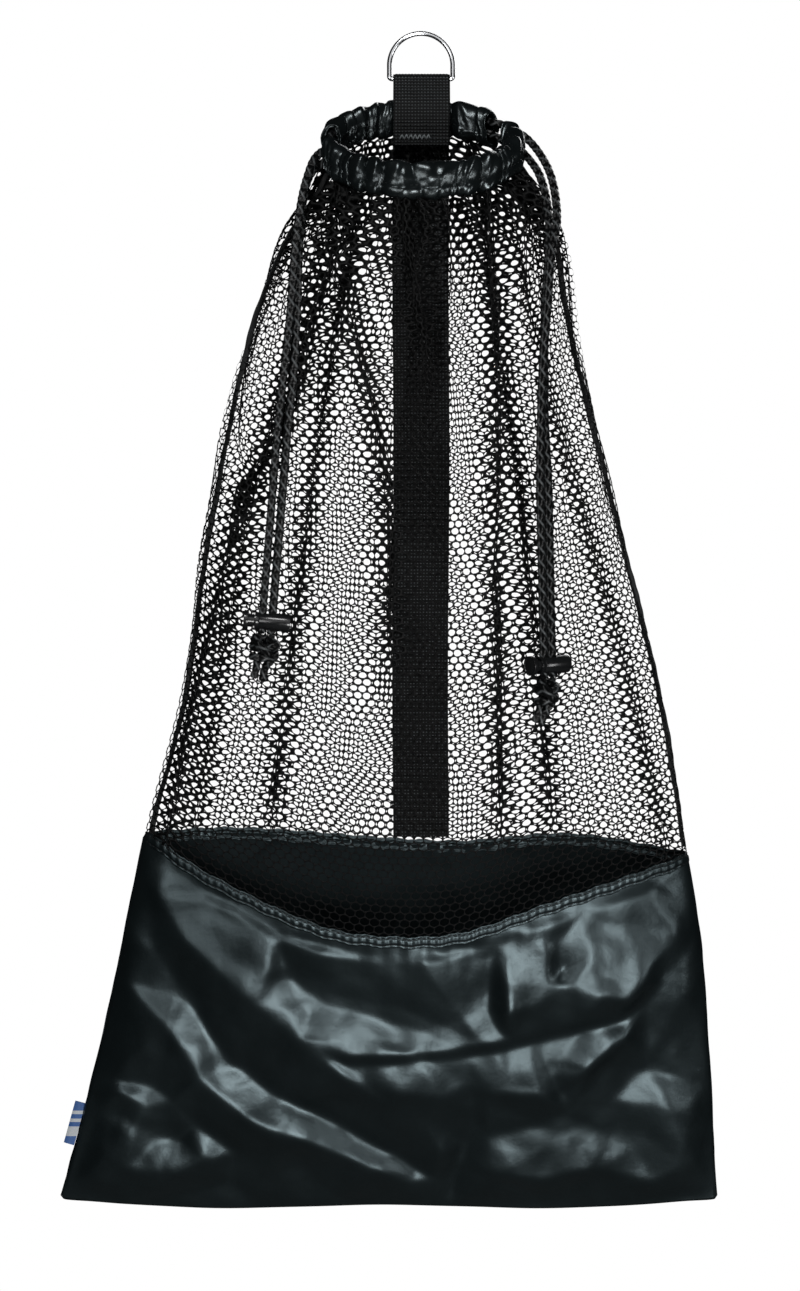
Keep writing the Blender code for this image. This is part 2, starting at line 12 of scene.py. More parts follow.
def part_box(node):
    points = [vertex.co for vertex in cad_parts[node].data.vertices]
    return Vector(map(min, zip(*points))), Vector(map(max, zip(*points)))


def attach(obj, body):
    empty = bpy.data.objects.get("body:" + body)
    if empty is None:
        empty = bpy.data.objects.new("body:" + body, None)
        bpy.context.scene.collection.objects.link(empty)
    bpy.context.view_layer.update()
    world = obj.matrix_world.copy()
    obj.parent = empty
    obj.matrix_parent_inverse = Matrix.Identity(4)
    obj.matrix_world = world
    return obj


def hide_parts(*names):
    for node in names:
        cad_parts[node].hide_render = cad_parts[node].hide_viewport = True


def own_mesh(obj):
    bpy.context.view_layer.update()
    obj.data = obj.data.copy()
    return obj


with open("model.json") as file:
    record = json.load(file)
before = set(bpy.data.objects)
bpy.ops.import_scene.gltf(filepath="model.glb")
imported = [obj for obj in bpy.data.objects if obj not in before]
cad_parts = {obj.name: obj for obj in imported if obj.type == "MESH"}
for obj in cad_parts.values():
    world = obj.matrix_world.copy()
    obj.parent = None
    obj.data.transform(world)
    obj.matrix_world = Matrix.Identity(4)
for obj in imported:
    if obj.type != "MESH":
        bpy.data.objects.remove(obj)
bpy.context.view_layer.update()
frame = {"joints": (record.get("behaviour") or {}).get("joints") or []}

for loaded in bpy.context.selected_objects:
    loaded.select_set(False)

# ---------------------------------------------------------------------------------------------
# Camera, light and floor. The bag hangs in front of a white studio, and the camera looks straight at
# it with a long lens. The key light is low in front, a weaker one stands on the left, and small ones
# are above, at the right and behind. The dark floor gives the nylon its dark reflections.
# ---------------------------------------------------------------------------------------------
scene = bpy.context.scene
scene.view_settings.view_transform = "Standard"
VIEW_CENTRE = Vector((-0.0139, 0.0, -0.4023))
VIEW_DISTANCE = 2.5
VIEW_HEIGHT = 0.852
camera_data = bpy.data.cameras.new("camera")
camera_data.sensor_width = 36.0
camera_data.lens = camera_data.sensor_width * VIEW_DISTANCE / VIEW_HEIGHT
camera = bpy.data.objects.new("camera", camera_data)
scene.collection.objects.link(camera)
camera.location = VIEW_CENTRE + Vector((0.0, -VIEW_DISTANCE, 0.0))
camera.rotation_euler = (math.radians(90.0), 0.0, 0.0)
scene.camera = camera

world = bpy.data.worlds.new("studio")
scene.world = world
world.use_nodes = True
sky = world.node_tree.nodes["Background"]
backdrop = world.node_tree.nodes.new("ShaderNodeBackground")
backdrop.inputs["Strength"].default_value = 1.0
backdrop.inputs["Color"].default_value = (1.0, 1.0, 1.0, 1.0)
sky.inputs["Color"].default_value = (0.90, 0.96, 1.0, 1.0)
sky.inputs["Strength"].default_value = 0.012
rays = world.node_tree.nodes.new("ShaderNodeLightPath")
which = world.node_tree.nodes.new("ShaderNodeMixShader")
world.node_tree.links.new(rays.outputs["Is Camera Ray"], which.inputs[0])
world.node_tree.links.new(sky.outputs[0], which.inputs[1])
world.node_tree.links.new(backdrop.outputs[0], which.inputs[2])
world.node_tree.links.new(which.outputs[0], world.node_tree.nodes["World Output"].inputs["Surface"])


def soft_light(name, place, aim, size, watts):
    """A rectangular studio light at a place, turned to what it lights."""
    lamp = bpy.data.lights.new(name, "AREA")
    lamp.shape = "RECTANGLE"
    lamp.size, lamp.size_y = size
    lamp.energy = watts
    lamp_object = bpy.data.objects.new(name, lamp)
    scene.collection.objects.link(lamp_object)
    lamp_object.location = place
    lamp_object.rotation_euler = (Vector(aim) - Vector(place)).to_track_quat("-Z", "Y").to_euler()
    return lamp_object


soft_light("key_light", (0.30, -1.65, -1.02), (0.0, 0.0, -0.66), (0.7, 0.5), 15.0)
soft_light("left_light", (-1.0, -1.9, -0.30), (0.0, 0.0, -0.60), (0.6, 0.7), 6.0)
soft_light("top_light", (-0.3, -1.5, 1.1), (0.0, 0.0, -0.2), (0.6, 0.4), 11.0)
soft_light("side_light", (1.6, -1.2, -0.6), (0.0, 0.0, -0.60), (0.25, 0.8), 5.0)
soft_light("back_light", (0.8, 1.9, 0.8), (0.0, 0.0, -0.45), (1.2, 1.2), 14.0)

# a broad card beside the camera that only the metal and the moulded pieces reflect
card_light = soft_light("card_light", (0.1, -1.3, 0.30), (0.0, 0.0, -0.10), (1.5, 1.1), 4.0)
shiny_pieces = bpy.data.collections.new("shiny_pieces")
card_light.light_linking.receiver_collection = shiny_pieces

bpy.ops.mesh.primitive_plane_add(size=2.4, location=(0.0, 0.0, -1.45))
floor = bpy.context.object
floor.name = "studio_floor"
floor_paint = bpy.data.materials.new("floor_paint")
floor_paint.use_nodes = True
floor_paint.node_tree.nodes["Principled BSDF"].inputs["Base Color"].default_value = (0.13, 0.135, 0.135, 1.0)
floor_paint.node_tree.nodes["Principled BSDF"].inputs["Roughness"].default_value = 0.9
floor.data.materials.append(floor_paint)

# ---------------------------------------------------------------------------------------------
# Net body: two panels of warp-knitted polyester net, sewn together down both sides. The yarns
# cross between round holes in staggered rows. Both panels are gathered into the casing above, so
# they fall in close pleats that open out downwards, and a few deep folds run the whole way.
# ---------------------------------------------------------------------------------------------
BAR_Z = -0.0284
BACK_LEAN = 0.092
SEAM_GAP = 0.00015
LEFT_SIDE = (
    (-0.0914, -0.0610), (-0.1076, -0.0695), (-0.1366, -0.0890), (-0.1970, -0.1130), (-0.3330, -0.1420),
    (-0.4380, -0.1580), (-0.5200, -0.1795), (-0.6590, -0.2110), (-0.7745, -0.2435),
)
RIGHT_SIDE = (
    (-0.0914, 0.0610), (-0.1076, 0.0740), (-0.1366, 0.0885), (-0.2000, 0.0997), (-0.3370, 0.1350),
    (-0.4380, 0.1600), (-0.5300, 0.1756), (-0.6150, 0.1885), (-0.7745, 0.2010),
)
HALF_DEPTH = (
    (-0.0914, 0.0440), (-0.2000, 0.0420), (-0.4000, 0.0400), (-0.5315, 0.0370), (-0.6500, 0.0240),
    (-0.7745, 0.0016),
)
FRONT_EDGE = (
    (-0.1790, -0.5254), (-0.1420, -0.5504), (-0.0660, -0.5850), (-0.0218, -0.5920), (0.0264, -0.5894),
    (0.0799, -0.5716), (0.1340, -0.5537), (0.1769, -0.5392),
)
BACK_EDGE = ((-0.1790, -0.5254), (-0.1200, -0.5240), (0.0200, -0.5333), (0.1000, -0.5280), (0.1769, -0.5392))
CASING_HALF_WIDTH, CASING_HALF_DEPTH, CASING_RISE = 0.060, 0.042, 0.026
CASING_CENTRE = (0.0, BACK_LEAN * (BAR_Z + 0.0795 - CASING_RISE) - CASING_HALF_DEPTH, -0.0795)
CASING_TALL, CASING_THICK = 0.023, 0.012
MOUTH_SIDE_Z, BASE_SIDE_Z, FOOT_SIDE_Z, FOOT_BELLY = -0.0914, -0.5315, -0.7745, 0.008
HEM_TALL = 0.008


def along(outline, at):
    """Smooth values at the stations, through an outline's (station, value) points."""
    points = np.array(sorted(outline))
    stations, values = points[:, 0], points[:, 1]
    slope = np.gradient(values, stations)
    slope[1:-1] = (values[2:] - values[:-2]) / (stations[2:] - stations[:-2])
    at = np.clip(at, stations[0], stations[-1])
    i = np.clip(np.searchsorted(stations, at, side="right") - 1, 0, len(stations) - 2)
    h = stations[i + 1] - stations[i]
    s = (at - stations[i]) / h
    rise = (2 * s**3 - 3 * s**2 + 1) * values[i] + (3 * s**2 - 2 * s**3) * values[i + 1]
    return rise + h * ((s**3 - 2 * s**2 + s) * slope[i] + (s**3 - s**2) * slope[i + 1])


def wall_place(angle, side_z, z):
    """Points of the bag's wall and their outward directions: angle 0 at the back, a quarter turn at +X."""
    left, right = along(LEFT_SIDE, side_z), along(RIGHT_SIDE, side_z)
    depth, half = along(HALF_DEPTH, side_z), (right - left) / 2
    x = (left + right) / 2 + half * np.sin(angle)
    bulge = SEAM_GAP + depth * np.abs(np.cos(angle))
    y = BACK_LEAN * (BAR_Z - side_z) - depth + np.copysign(bulge, np.cos(angle))
    outward = np.stack([depth * np.sin(angle), half * np.cos(angle), np.zeros_like(half * angle)], axis=-1)
    outward /= np.linalg.norm(outward, axis=-1, keepdims=True)
    return np.stack([x, y, z + 0.0 * x], axis=-1), outward


def mouth_z(angle):
    return CASING_CENTRE[2] + CASING_RISE * np.cos(angle) - CASING_TALL / 2


def base_z(angle):
    """Height of the base's top edge at an angle round the wall."""
    left, right = along(LEFT_SIDE, BASE_SIDE_Z), along(RIGHT_SIDE, BASE_SIDE_Z)
    x = (left + right) / 2 + (right - left) / 2 * np.sin(angle)
    return np.where(np.cos(angle) > 0, along(BACK_EDGE, x), along(FRONT_EDGE, x))


def even_angles(middle, side_zs, count=257):
    """For each height, angles that divide the half round from seam to seam into equal lengths."""
    angle = middle + np.linspace(-0.5, 0.5, 513) * math.pi * 0.99999
    tables, lengths = [], []
    for side_z in side_zs:
        place, _ = wall_place(angle, np.full_like(angle, side_z), side_z)
        walk = np.concatenate([[0.0], np.linalg.norm(np.diff(place, axis=0), axis=1).cumsum()])
        tables.append(np.interp(np.linspace(0.0, walk[-1], count), walk, angle))
        lengths.append(walk[-1])
    return np.array(tables), np.array(lengths)


def look_up(table, row, column):
    """Values of a table between its rows and columns; row and column run from 0 to 1."""
    r = np.clip(row, 0.0, 1.0) * (table.shape[0] - 1)
    c = np.clip(column, 0.0, 1.0) * (table.shape[1] - 1)
    r0, c0 = np.minimum(r.astype(int), table.shape[0] - 2), np.minimum(c.astype(int), table.shape[1] - 2)
    r, c = r - r0, c - c0
    upper = table[r0, c0] * (1 - c) + table[r0, c0 + 1] * c
    lower = table[r0 + 1, c0] * (1 - c) + table[r0 + 1, c0 + 1] * c
    return upper * (1 - r) + lower * r


NET_WIDTH, NET_HEIGHT = 0.3534, 0.4576
HOLE_PITCH, HOLE_ROW = 0.0062, 0.0044
YARN_RAISE, YARN_KNOT_RAISE = 0.00030, 0.00040
# pleats: how many across a panel, their depth, where below the mouth they are deepest and how far they reach,
# how far they bunch together, and a number that shifts them
PLEATS = (
    (19, 0.0038, 0.00, 0.05, 1.05, 1.7),
    (11, 0.0045, 0.04, 0.08, 0.62, 2.3),
    (6, 0.0040, 0.13, 0.14, 0.30, 3.1),
)
# deep folds: where each runs (height, X), how far its cloth is drawn in, and how wide it is
FRONT_FOLDS = (
    (((-0.108, -0.0535), (-0.200, -0.042), (-0.293, -0.0238), (-0.420, -0.018)), 0.0150, 0.0120),
    (((-0.110, 0.040), (-0.200, 0.0465), (-0.350, 0.048), (-0.520, 0.052)), 0.0110, 0.0085),
    (((-0.110, -0.048), (-0.180, -0.068), (-0.2534, -0.0875), (-0.300, -0.112), (-0.3973, -0.138),
      (-0.530, -0.167)),
     0.0160, 0.0130),
    (((-0.110, 0.052), (-0.250, 0.086), (-0.400, 0.128), (-0.530, 0.160)), 0.0060, 0.0070),
    (((-0.110, -0.010), (-0.150, -0.008), (-0.215, 0.004)), 0.0160, 0.0130),
)
BACK_FOLDS = (
    (((-0.080, 0.034), (-0.250, 0.060), (-0.520, 0.088)), 0.0100, 0.0080),
    (((-0.080, -0.036), (-0.250, -0.066), (-0.520, -0.100)), 0.0100, 0.0080),
    (((-0.080, -0.050), (-0.300, -0.110), (-0.520, -0.150)), 0.0060, 0.0070),
)


def net_place(u, v, front):
    """Points of a net panel, from places on the flat cloth: u across and v down, both from 0 to 1."""
    angles, lengths = net_tables[front]
    fall = v * NET_HEIGHT
    side_z = MOUTH_SIDE_Z + (BASE_SIDE_Z - MOUTH_SIDE_Z) * v
    length = np.interp(v, np.linspace(0.0, 1.0, len(lengths)), lengths)
    angle = look_up(angles, v, u)
    z = mouth_z(angle) + (base_z(angle) - mouth_z(angle)) * v
    place, outward = wall_place(angle, side_z, z)
    across = np.zeros_like(u)
    out = np.zeros_like(u)
    settle = np.clip((1.0 - v) * NET_HEIGHT / 0.05, 0.0, 1.0) ** 0.6
    tuck = np.clip(fall / 0.040, 0.0, 1.0) ** 1.5
    x_sign = -1.0 if front else 1.0
    for run, drawn, width in FRONT_FOLDS if front else BACK_FOLDS:
        off = (place[:, 0] - along(run, z)) / width
        ends = np.clip((z - (run[-1][0] - 0.04)) / 0.06, 0.0, 1.0)
        bell = np.exp(-off**2) * ends
        across -= x_sign * drawn * 1.4 * off * bell
        out += drawn * 0.30 * bell * (0.35 + 0.65 * settle) * tuck
    for count, depth, start, reach, bunching, seed in PLEATS:
        drift = (0.30 * np.sin(2 * math.pi * (1.7 * u + 0.9 * v + seed))
                 + 0.16 * np.sin(13.0 * u + 5.0 * v * seed))
        phase = 2 * math.pi * (count * u + drift + (0.31 * seed if front else 0.77 * seed))
        fade = np.exp(-(((fall - start) / reach) ** 2)) if start else np.exp(-fall / reach)
        wave = np.sin(phase) + 0.22 * np.sin(2 * phase + 1.0)
        out += depth * fade * wave * (0.3 + 0.7 * settle)
        across += bunching * fade * length / (2 * math.pi * count) * np.sin(phase + 0.9)
    angle = look_up(angles, v, u + across / length)
    z = mouth_z(angle) + (base_z(angle) - mouth_z(angle)) * v
    place, outward = wall_place(angle, side_z, z)
    return place + outward * out[:, None]


net_tables = {
    front: even_angles(math.pi if front else 0.0, np.linspace(MOUTH_SIDE_Z, BASE_SIDE_Z, 49))
    for front in (True, False)
}


def add_shape(name, points, faces, finish, smooth=True):
    """A mesh object in place, from its points and faces."""
    mesh = bpy.data.meshes.new(name)
    if isinstance(faces, np.ndarray):
        mesh.vertices.add(len(points))
        mesh.vertices.foreach_set("co", np.asarray(points, dtype=np.float32).ravel())
        mesh.loops.add(faces.size)
        mesh.loops.foreach_set("vertex_index", faces.ravel().astype(np.int32))
        mesh.polygons.add(len(faces))
        mesh.polygons.foreach_set("loop_start", np.arange(len(faces), dtype=np.int32) * faces.shape[1])
        mesh.update(calc_edges=True)
    else:
        mesh.from_pydata([tuple(p) for p in points], [], [tuple(int(i) for i in f) for f in faces])
    if smooth:
        mesh.shade_smooth()
    mesh.materials.append(finish)
    made = bpy.data.objects.new(name, mesh)
    scene.collection.objects.link(made)
    return made


def new_finish(name, colour, roughness, metallic=0.0):
    """A material with its node tree and its shader."""
    made = bpy.data.materials.new(name)
    made.use_nodes = True
    shader = made.node_tree.nodes["Principled BSDF"]
    shader.inputs["Base Color"].default_value = (*colour, 1.0)
    shader.inputs["Roughness"].default_value = roughness
    shader.inputs["Metallic"].default_value = metallic
    return made, made.node_tree, shader


def make_uneven_group():
    """Uneven dye and wear: a colour lightened and darkened in patches, with the patches as a mask."""
    group = bpy.data.node_groups.new("uneven_dye", "ShaderNodeTree")
    tree = group.interface
    tree.new_socket("Colour", in_out="INPUT", socket_type="NodeSocketColor")
    tree.new_socket("Patches", in_out="INPUT", socket_type="NodeSocketFloat").default_value = 40.0
    tree.new_socket("Amount", in_out="INPUT", socket_type="NodeSocketFloat").default_value = 0.4
    tree.new_socket("Colour", in_out="OUTPUT", socket_type="NodeSocketColor")
    tree.new_socket("Mask", in_out="OUTPUT", socket_type="NodeSocketFloat")
    start = group.nodes.new("NodeGroupInput")
    end = group.nodes.new("NodeGroupOutput")
    place = group.nodes.new("ShaderNodeTexCoord")
    noise = group.nodes.new("ShaderNodeTexNoise")
    noise.inputs["Detail"].default_value = 4.0
    spread = group.nodes.new("ShaderNodeMapRange")
    spread.inputs["From Min"].default_value = 0.3
    spread.inputs["From Max"].default_value = 0.7
    centred = group.nodes.new("ShaderNodeMath")
    centred.operation = "SUBTRACT"
    centred.inputs[1].default_value = 0.5
    weight = group.nodes.new("ShaderNodeMath")
    weight.operation = "MULTIPLY_ADD"
    weight.inputs[2].default_value = 1.0
    tint = group.nodes.new("ShaderNodeVectorMath")
    tint.operation = "SCALE"
    links = group.links
    links.new(place.outputs["Object"], noise.inputs["Vector"])
    links.new(start.outputs["Patches"], noise.inputs["Scale"])
    links.new(noise.outputs["Fac"], spread.inputs["Value"])
    links.new(spread.outputs["Result"], centred.inputs[0])
    links.new(centred.outputs[0], weight.inputs[0])
    links.new(start.outputs["Amount"], weight.inputs[1])
    links.new(start.outputs["Colour"], tint.inputs[0])
    links.new(weight.outputs[0], tint.inputs["Scale"])
    links.new(tint.outputs["Vector"], end.inputs["Colour"])
    links.new(spread.outputs["Result"], end.inputs["Mask"])
    return group


uneven_group = make_uneven_group()


def dye(tree, shader, colour, patches, amount):
    """Feeds a finish's base colour through the uneven dye."""
    uneven = tree.nodes.new("ShaderNodeGroup")
    uneven.node_tree = uneven_group
    uneven.inputs["Colour"].default_value = (*colour, 1.0)
    uneven.inputs["Patches"].default_value = patches
    uneven.inputs["Amount"].default_value = amount
    tree.links.new(uneven.outputs["Colour"], shader.inputs["Base Color"])
    return uneven


def add_bump(tree, shader, height, strength, distance):
    """Raises a finish's surface by a height output."""
    bump = tree.nodes.new("ShaderNodeBump")
    bump.inputs["Strength"].default_value = strength
    bump.inputs["Distance"].default_value = distance
    tree.links.new(height, bump.inputs["Height"])
    tree.links.new(bump.outputs["Normal"], shader.inputs["Normal"])
    return bump


NET_COLOUR = (0.0012, 0.0014, 0.0015)
net_finish, tree, shader = new_finish("net_yarn", NET_COLOUR, 0.55)
shader.inputs["Specular IOR Level"].default_value = 0.20
dye(tree, shader, NET_COLOUR, 90.0, 0.7)
filaments = tree.nodes.new("ShaderNodeTexNoise")
filaments.inputs["Scale"].default_value = 2600.0
filament_place = tree.nodes.new("ShaderNodeTexCoord")
tree.links.new(filament_place.outputs["Object"], filaments.inputs["Vector"])
add_bump(tree, shader, filaments.outputs["Fac"], 0.5, 0.0002)

# a hole is a rounded six-sided opening: the yarn's middle line runs round it, and its rim is the opening
HOLE_LINE = (
    (0, 4), (1, 3), (2, 2), (2, 0), (2, -2), (1, -3),
    (0, -4), (-1, -3), (-2, -2), (-2, 0), (-2, 2), (-1, 3),
)
HOLE_RIM = (0.74, 0.90, 0.78, 0.92, 0.78, 0.90, 0.74, 0.90, 0.78, 0.92, 0.78, 0.90)
# gathered cloth closes its holes: by how much at the mouth and in a deep fold, and how far down from
# the mouth. It stands for the layers that overlap there in the real net.
MOUTH_CLOSING, FOLD_CLOSING, CLOSING_REACH = 0.46, 0.34, 0.042


def add_net_half(name, front, first, last, rows):
    """One piece of a net panel: some columns of holes, each ringed by yarn raised on both faces."""
    column, row = np.meshgrid(np.arange(first, last), np.arange(rows))
    centre = np.stack([4 * column + 2 * (row % 2), 6 * row], axis=-1).reshape(-1, 1, 2)
    line = np.array(HOLE_LINE).reshape(1, 12, 2)
    keys = (centre + line).reshape(-1, 2)
    outer, index = np.unique(keys, axis=0, return_inverse=True)
    index = index.reshape(-1, 12)
    columns = NET_WIDTH / HOLE_PITCH

    def flat(points):
        u = (points[:, 0] / 4.0 + 0.5) / (columns + 0.5)
        v = (points[:, 1] / 6.0 + 2.0 / 3.0) / (rows + 1.0 / 3.0) * 1.008
        return np.clip(u, 0.0, 1.0), np.clip(v, 0.0, 1.008)

    u, v = flat(centre[:, 0])
    spot = net_place(u, v, front)
    gathered = MOUTH_CLOSING * np.exp(-((v * NET_HEIGHT / CLOSING_REACH) ** 2))
    for run, _, fold_width in FRONT_FOLDS if front else BACK_FOLDS:
        ends = np.clip((spot[:, 2] - (run[-1][0] - 0.04)) / 0.06, 0.0, 1.0)
        fold = np.exp(-(((spot[:, 0] - along(run, spot[:, 2])) / (0.75 * fold_width)) ** 2)) * ends
        gathered = np.maximum(gathered, FOLD_CLOSING * fold)
    opening = np.array(HOLE_RIM).reshape(1, 12, 1) * (1.0 - gathered).reshape(-1, 1, 1)
    rim = (centre + line * opening).reshape(-1, 2)
    u, v = flat(outer)
    e = 0.0006
    there = net_place(u, v, front)
    beside = net_place(np.clip(u + e, 0, 1), v, front) - net_place(np.clip(u - e, 0, 1), v, front)
    below = net_place(u, np.clip(v + e, 0, 1), front) - net_place(u, np.clip(v - e, 0, 1), front)
    facing = np.cross(below, beside)
    facing /= np.linalg.norm(facing, axis=1, keepdims=True) + 1e-12
    corner = np.isin(outer[:, 1] % 6, (2, 4)) & (outer[:, 0] % 2 == 0)
    raise_by = np.where(corner, YARN_KNOT_RAISE, YARN_RAISE)[:, None]
    u, v = flat(rim)
    points = np.concatenate([there + facing * raise_by, there - facing * raise_by, net_place(u, v, front)])
    count = len(outer)
    rims = 2 * count + np.arange(len(rim)).reshape(-1, 12)
    turned = np.roll(index, -1, axis=1)
    rims_turned = np.roll(rims, -1, axis=1)
    upper = np.stack([index, rims, rims_turned, turned], axis=-1).reshape(-1, 4)
    under = np.stack([index + count, turned + count, rims_turned, rims], axis=-1).reshape(-1, 4)
    pairs = np.stack([index, turned], axis=-1).reshape(-1, 2)
    codes = np.sort(pairs, axis=1)
    codes = codes[:, 0].astype(np.int64) * count + codes[:, 1]
    _, where, used = np.unique(codes, return_index=True, return_counts=True)
    edge = pairs[where[used == 1]]
    sides = np.stack([edge[:, 0], edge[:, 1], edge[:, 1] + count, edge[:, 0] + count], axis=-1)
    return add_shape(name, points, np.concatenate([upper, under, sides]), net_finish)


# The share of a net's flat size that is cloth: the holes as drawn give 0.39 to 0.46, and the same net with
# every hole fully open gives 0.30. It was set by hand to meet the sheet test: the holes as drawn give 0.39
# to 0.46, and the same net with every hole fully open gives 0.30.
net_rows = round(NET_HEIGHT / HOLE_ROW)
net_columns = round(NET_WIDTH / HOLE_PITCH)
net_cut = net_columns // 2
for side, front in (("front", True), ("back", False)):
    half_columns = {"left": (0, net_cut), "right": (net_cut, net_columns)}
    for part, (first, last) in half_columns.items():
        net = add_net_half(f"{side}_net_{part}", front, first, last, net_rows)
        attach(net, "bag")
    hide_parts(f"{side}_mesh")

# ---------------------------------------------------------------------------------------------
# Base: two panels of closely woven black nylon taffeta, sewn together at the sides and the foot.
# They hang a little loose, so the cloth lies in flat facets between creases. The creases are drawn
# as runs of points, and small random facets are added to them.
# ---------------------------------------------------------------------------------------------
BASE_THICKNESS = 0.0006
# the cloth's folds: runs of (X, Z, height) points in metres; the cloth lies nearly flat between them
FRONT_RUNS = (
    # outline
    ((-0.188, -0.536, 0.0), (-0.138, -0.575, 0.001), (-0.096, -0.594, 0.0), (-0.065, -0.604, 0.003),
     (-0.022, -0.610, 0.0), (0.015, -0.608, 0.003), (0.046, -0.600, 0.0), (0.076, -0.590, 0.003),
     (0.107, -0.577, 0.0), (0.147, -0.565, 0.003), (0.181, -0.553, 0.0)),
    ((-0.194, -0.580, 0.0), (-0.206, -0.640, 0.0), (-0.222, -0.700, 0.0), (-0.243, -0.775, 0.0)),
    ((0.186, -0.590, 0.0), (0.194, -0.640, 0.0), (0.199, -0.700, 0.0), (0.201, -0.775, 0.0)),
    ((-0.190, -0.782, 0.0), (-0.108, -0.782, 0.002), (-0.050, -0.783, 0.0), (0.020, -0.784, 0.001),
     (0.090, -0.783, 0.0), (0.150, -0.781, 0.001)),
    # the fold that hangs from the hem on the left, and the hollow below it
    ((-0.178, -0.560, 0.002), (-0.150, -0.600, 0.008), (-0.126, -0.624, 0.011), (-0.108, -0.640, 0.012)),
    ((-0.101, -0.590, 0.001), (-0.099, -0.612, 0.006), (-0.108, -0.640, 0.012)),
    ((-0.094, -0.592, -0.002), (-0.091, -0.618, 0.000)),
    ((-0.176, -0.600, 0.000), (-0.152, -0.640, -0.003), (-0.126, -0.680, -0.003), (-0.100, -0.700, -0.002)),
    # the ridge beside the hollow, and the long band that falls to the foot from it
    ((-0.196, -0.624, 0.003), (-0.168, -0.654, 0.008), (-0.146, -0.690, 0.009), (-0.118, -0.716, 0.011),
     (-0.080, -0.733, 0.013), (-0.034, -0.753, 0.010), (-0.008, -0.762, 0.006)),
    ((-0.100, -0.700, -0.002), (-0.056, -0.722, -0.002), (-0.018, -0.744, -0.001), (0.000, -0.756, 0.001)),
    ((-0.084, -0.661, 0.008), (-0.050, -0.688, 0.010), (-0.018, -0.708, 0.010), (0.006, -0.722, 0.009),
     (0.014, -0.742, 0.009), (0.010, -0.762, 0.005)),
    # the bowl under the hem: its floor, its rolled lip, and the crease below the lip
    ((-0.087, -0.610, 0.000), (-0.080, -0.627, -0.002), (-0.060, -0.640, -0.003), (-0.028, -0.648, -0.002),
     (0.002, -0.657, 0.001)),
    ((-0.091, -0.636, 0.005), (-0.082, -0.654, 0.007), (-0.066, -0.668, 0.008), (-0.046, -0.6745, 0.009),
     (-0.014, -0.6735, 0.007), (0.022, -0.6705, 0.005), (0.060, -0.6635, 0.004), (0.100, -0.6535, 0.004),
     (0.134, -0.6470, 0.003)),
    ((-0.053, -0.6780, 0.005), (-0.028, -0.6775, 0.004), (0.000, -0.6760, 0.003), (0.030, -0.6730, 0.001),
     (0.073, -0.6645, 0.000), (0.107, -0.6565, 0.000), (0.135, -0.6505, 0.001)),
    # the band below the crease, notched where it buckles
    ((-0.040, -0.6900, 0.008), (-0.016, -0.6995, 0.012), (0.014, -0.7025, 0.012), (0.030, -0.6940, 0.004),
     (0.047, -0.7005, 0.011), (0.078, -0.7015, 0.012), (0.086, -0.6880, 0.004), (0.108, -0.6865, 0.010),
     (0.132, -0.6630, 0.008)),
    # the fold that hangs from the hem on the right
    ((0.055, -0.603, 0.002), (0.055, -0.624, 0.008), (0.056, -0.645, 0.013)),
    ((0.047, -0.606, -0.002), (0.045, -0.640, -0.001), (0.052, -0.654, 0.001)),
    ((0.079, -0.592, 0.002), (0.083, -0.624, 0.008), (0.072, -0.640, 0.009), (0.056, -0.645, 0.013)),
    ((0.088, -0.596, -0.001), (0.092, -0.616, 0.000)),
    ((0.096, -0.626, 0.009), (0.116, -0.634, 0.014), (0.135, -0.638, 0.014), (0.146, -0.620, 0.010),
     (0.164, -0.594, 0.006), (0.178, -0.566, 0.002)),
    ((0.116, -0.634, 0.014), (0.112, -0.606, 0.006), (0.118, -0.584, 0.001)),
    ((0.137, -0.645, 0.002), (0.158, -0.622, 0.002), (0.178, -0.600, 0.001)),
    ((0.150, -0.6390, 0.000), (0.172, -0.6320, 0.003), (0.190, -0.6265, 0.000)),
    ((0.136, -0.656, 0.006), (0.120, -0.680, 0.005), (0.100, -0.712, 0.002), (0.092, -0.728, 0.001)),
    # the lower right
    ((0.036, -0.716, 0.001), (0.030, -0.736, 0.000), (0.022, -0.758, 0.000)),
    ((0.044, -0.730, 0.002), (0.078, -0.722, 0.000), (0.108, -0.724, 0.001)),
    ((0.048, -0.758, 0.011), (0.080, -0.762, 0.013), (0.118, -0.754, 0.011)),
    ((0.150, -0.682, 0.000), (0.168, -0.716, 0.007), (0.184, -0.750, 0.010)),
    ((0.128, -0.706, 0.000), (0.142, -0.738, 0.004), (0.156, -0.764, 0.008)),
    # the crumpled lower left
    ((-0.205, -0.692, 0.002), (-0.199, -0.702, 0.007), (-0.185, -0.710, 0.007), (-0.176, -0.720, 0.004)),
    ((-0.202, -0.714, 0.000), (-0.190, -0.722, 0.006), (-0.176, -0.733, 0.002)),
    ((-0.176, -0.698, 0.000), (-0.164, -0.708, 0.006), (-0.158, -0.722, 0.004), (-0.162, -0.734, 0.000)),
    ((-0.152, -0.722, 0.000), (-0.146, -0.746, 0.011), (-0.166, -0.757, 0.013), (-0.196, -0.755, 0.009)),
    ((-0.216, -0.716, 0.000), (-0.212, -0.744, 0.008)),
    ((-0.124, -0.740, 0.002), (-0.128, -0.762, 0.002)),
    ((-0.089, -0.738, 0.012), (-0.104, -0.758, 0.006), (-0.110, -0.774, 0.003)),
    ((-0.080, -0.750, 0.004), (-0.060, -0.772, 0.001)),
)
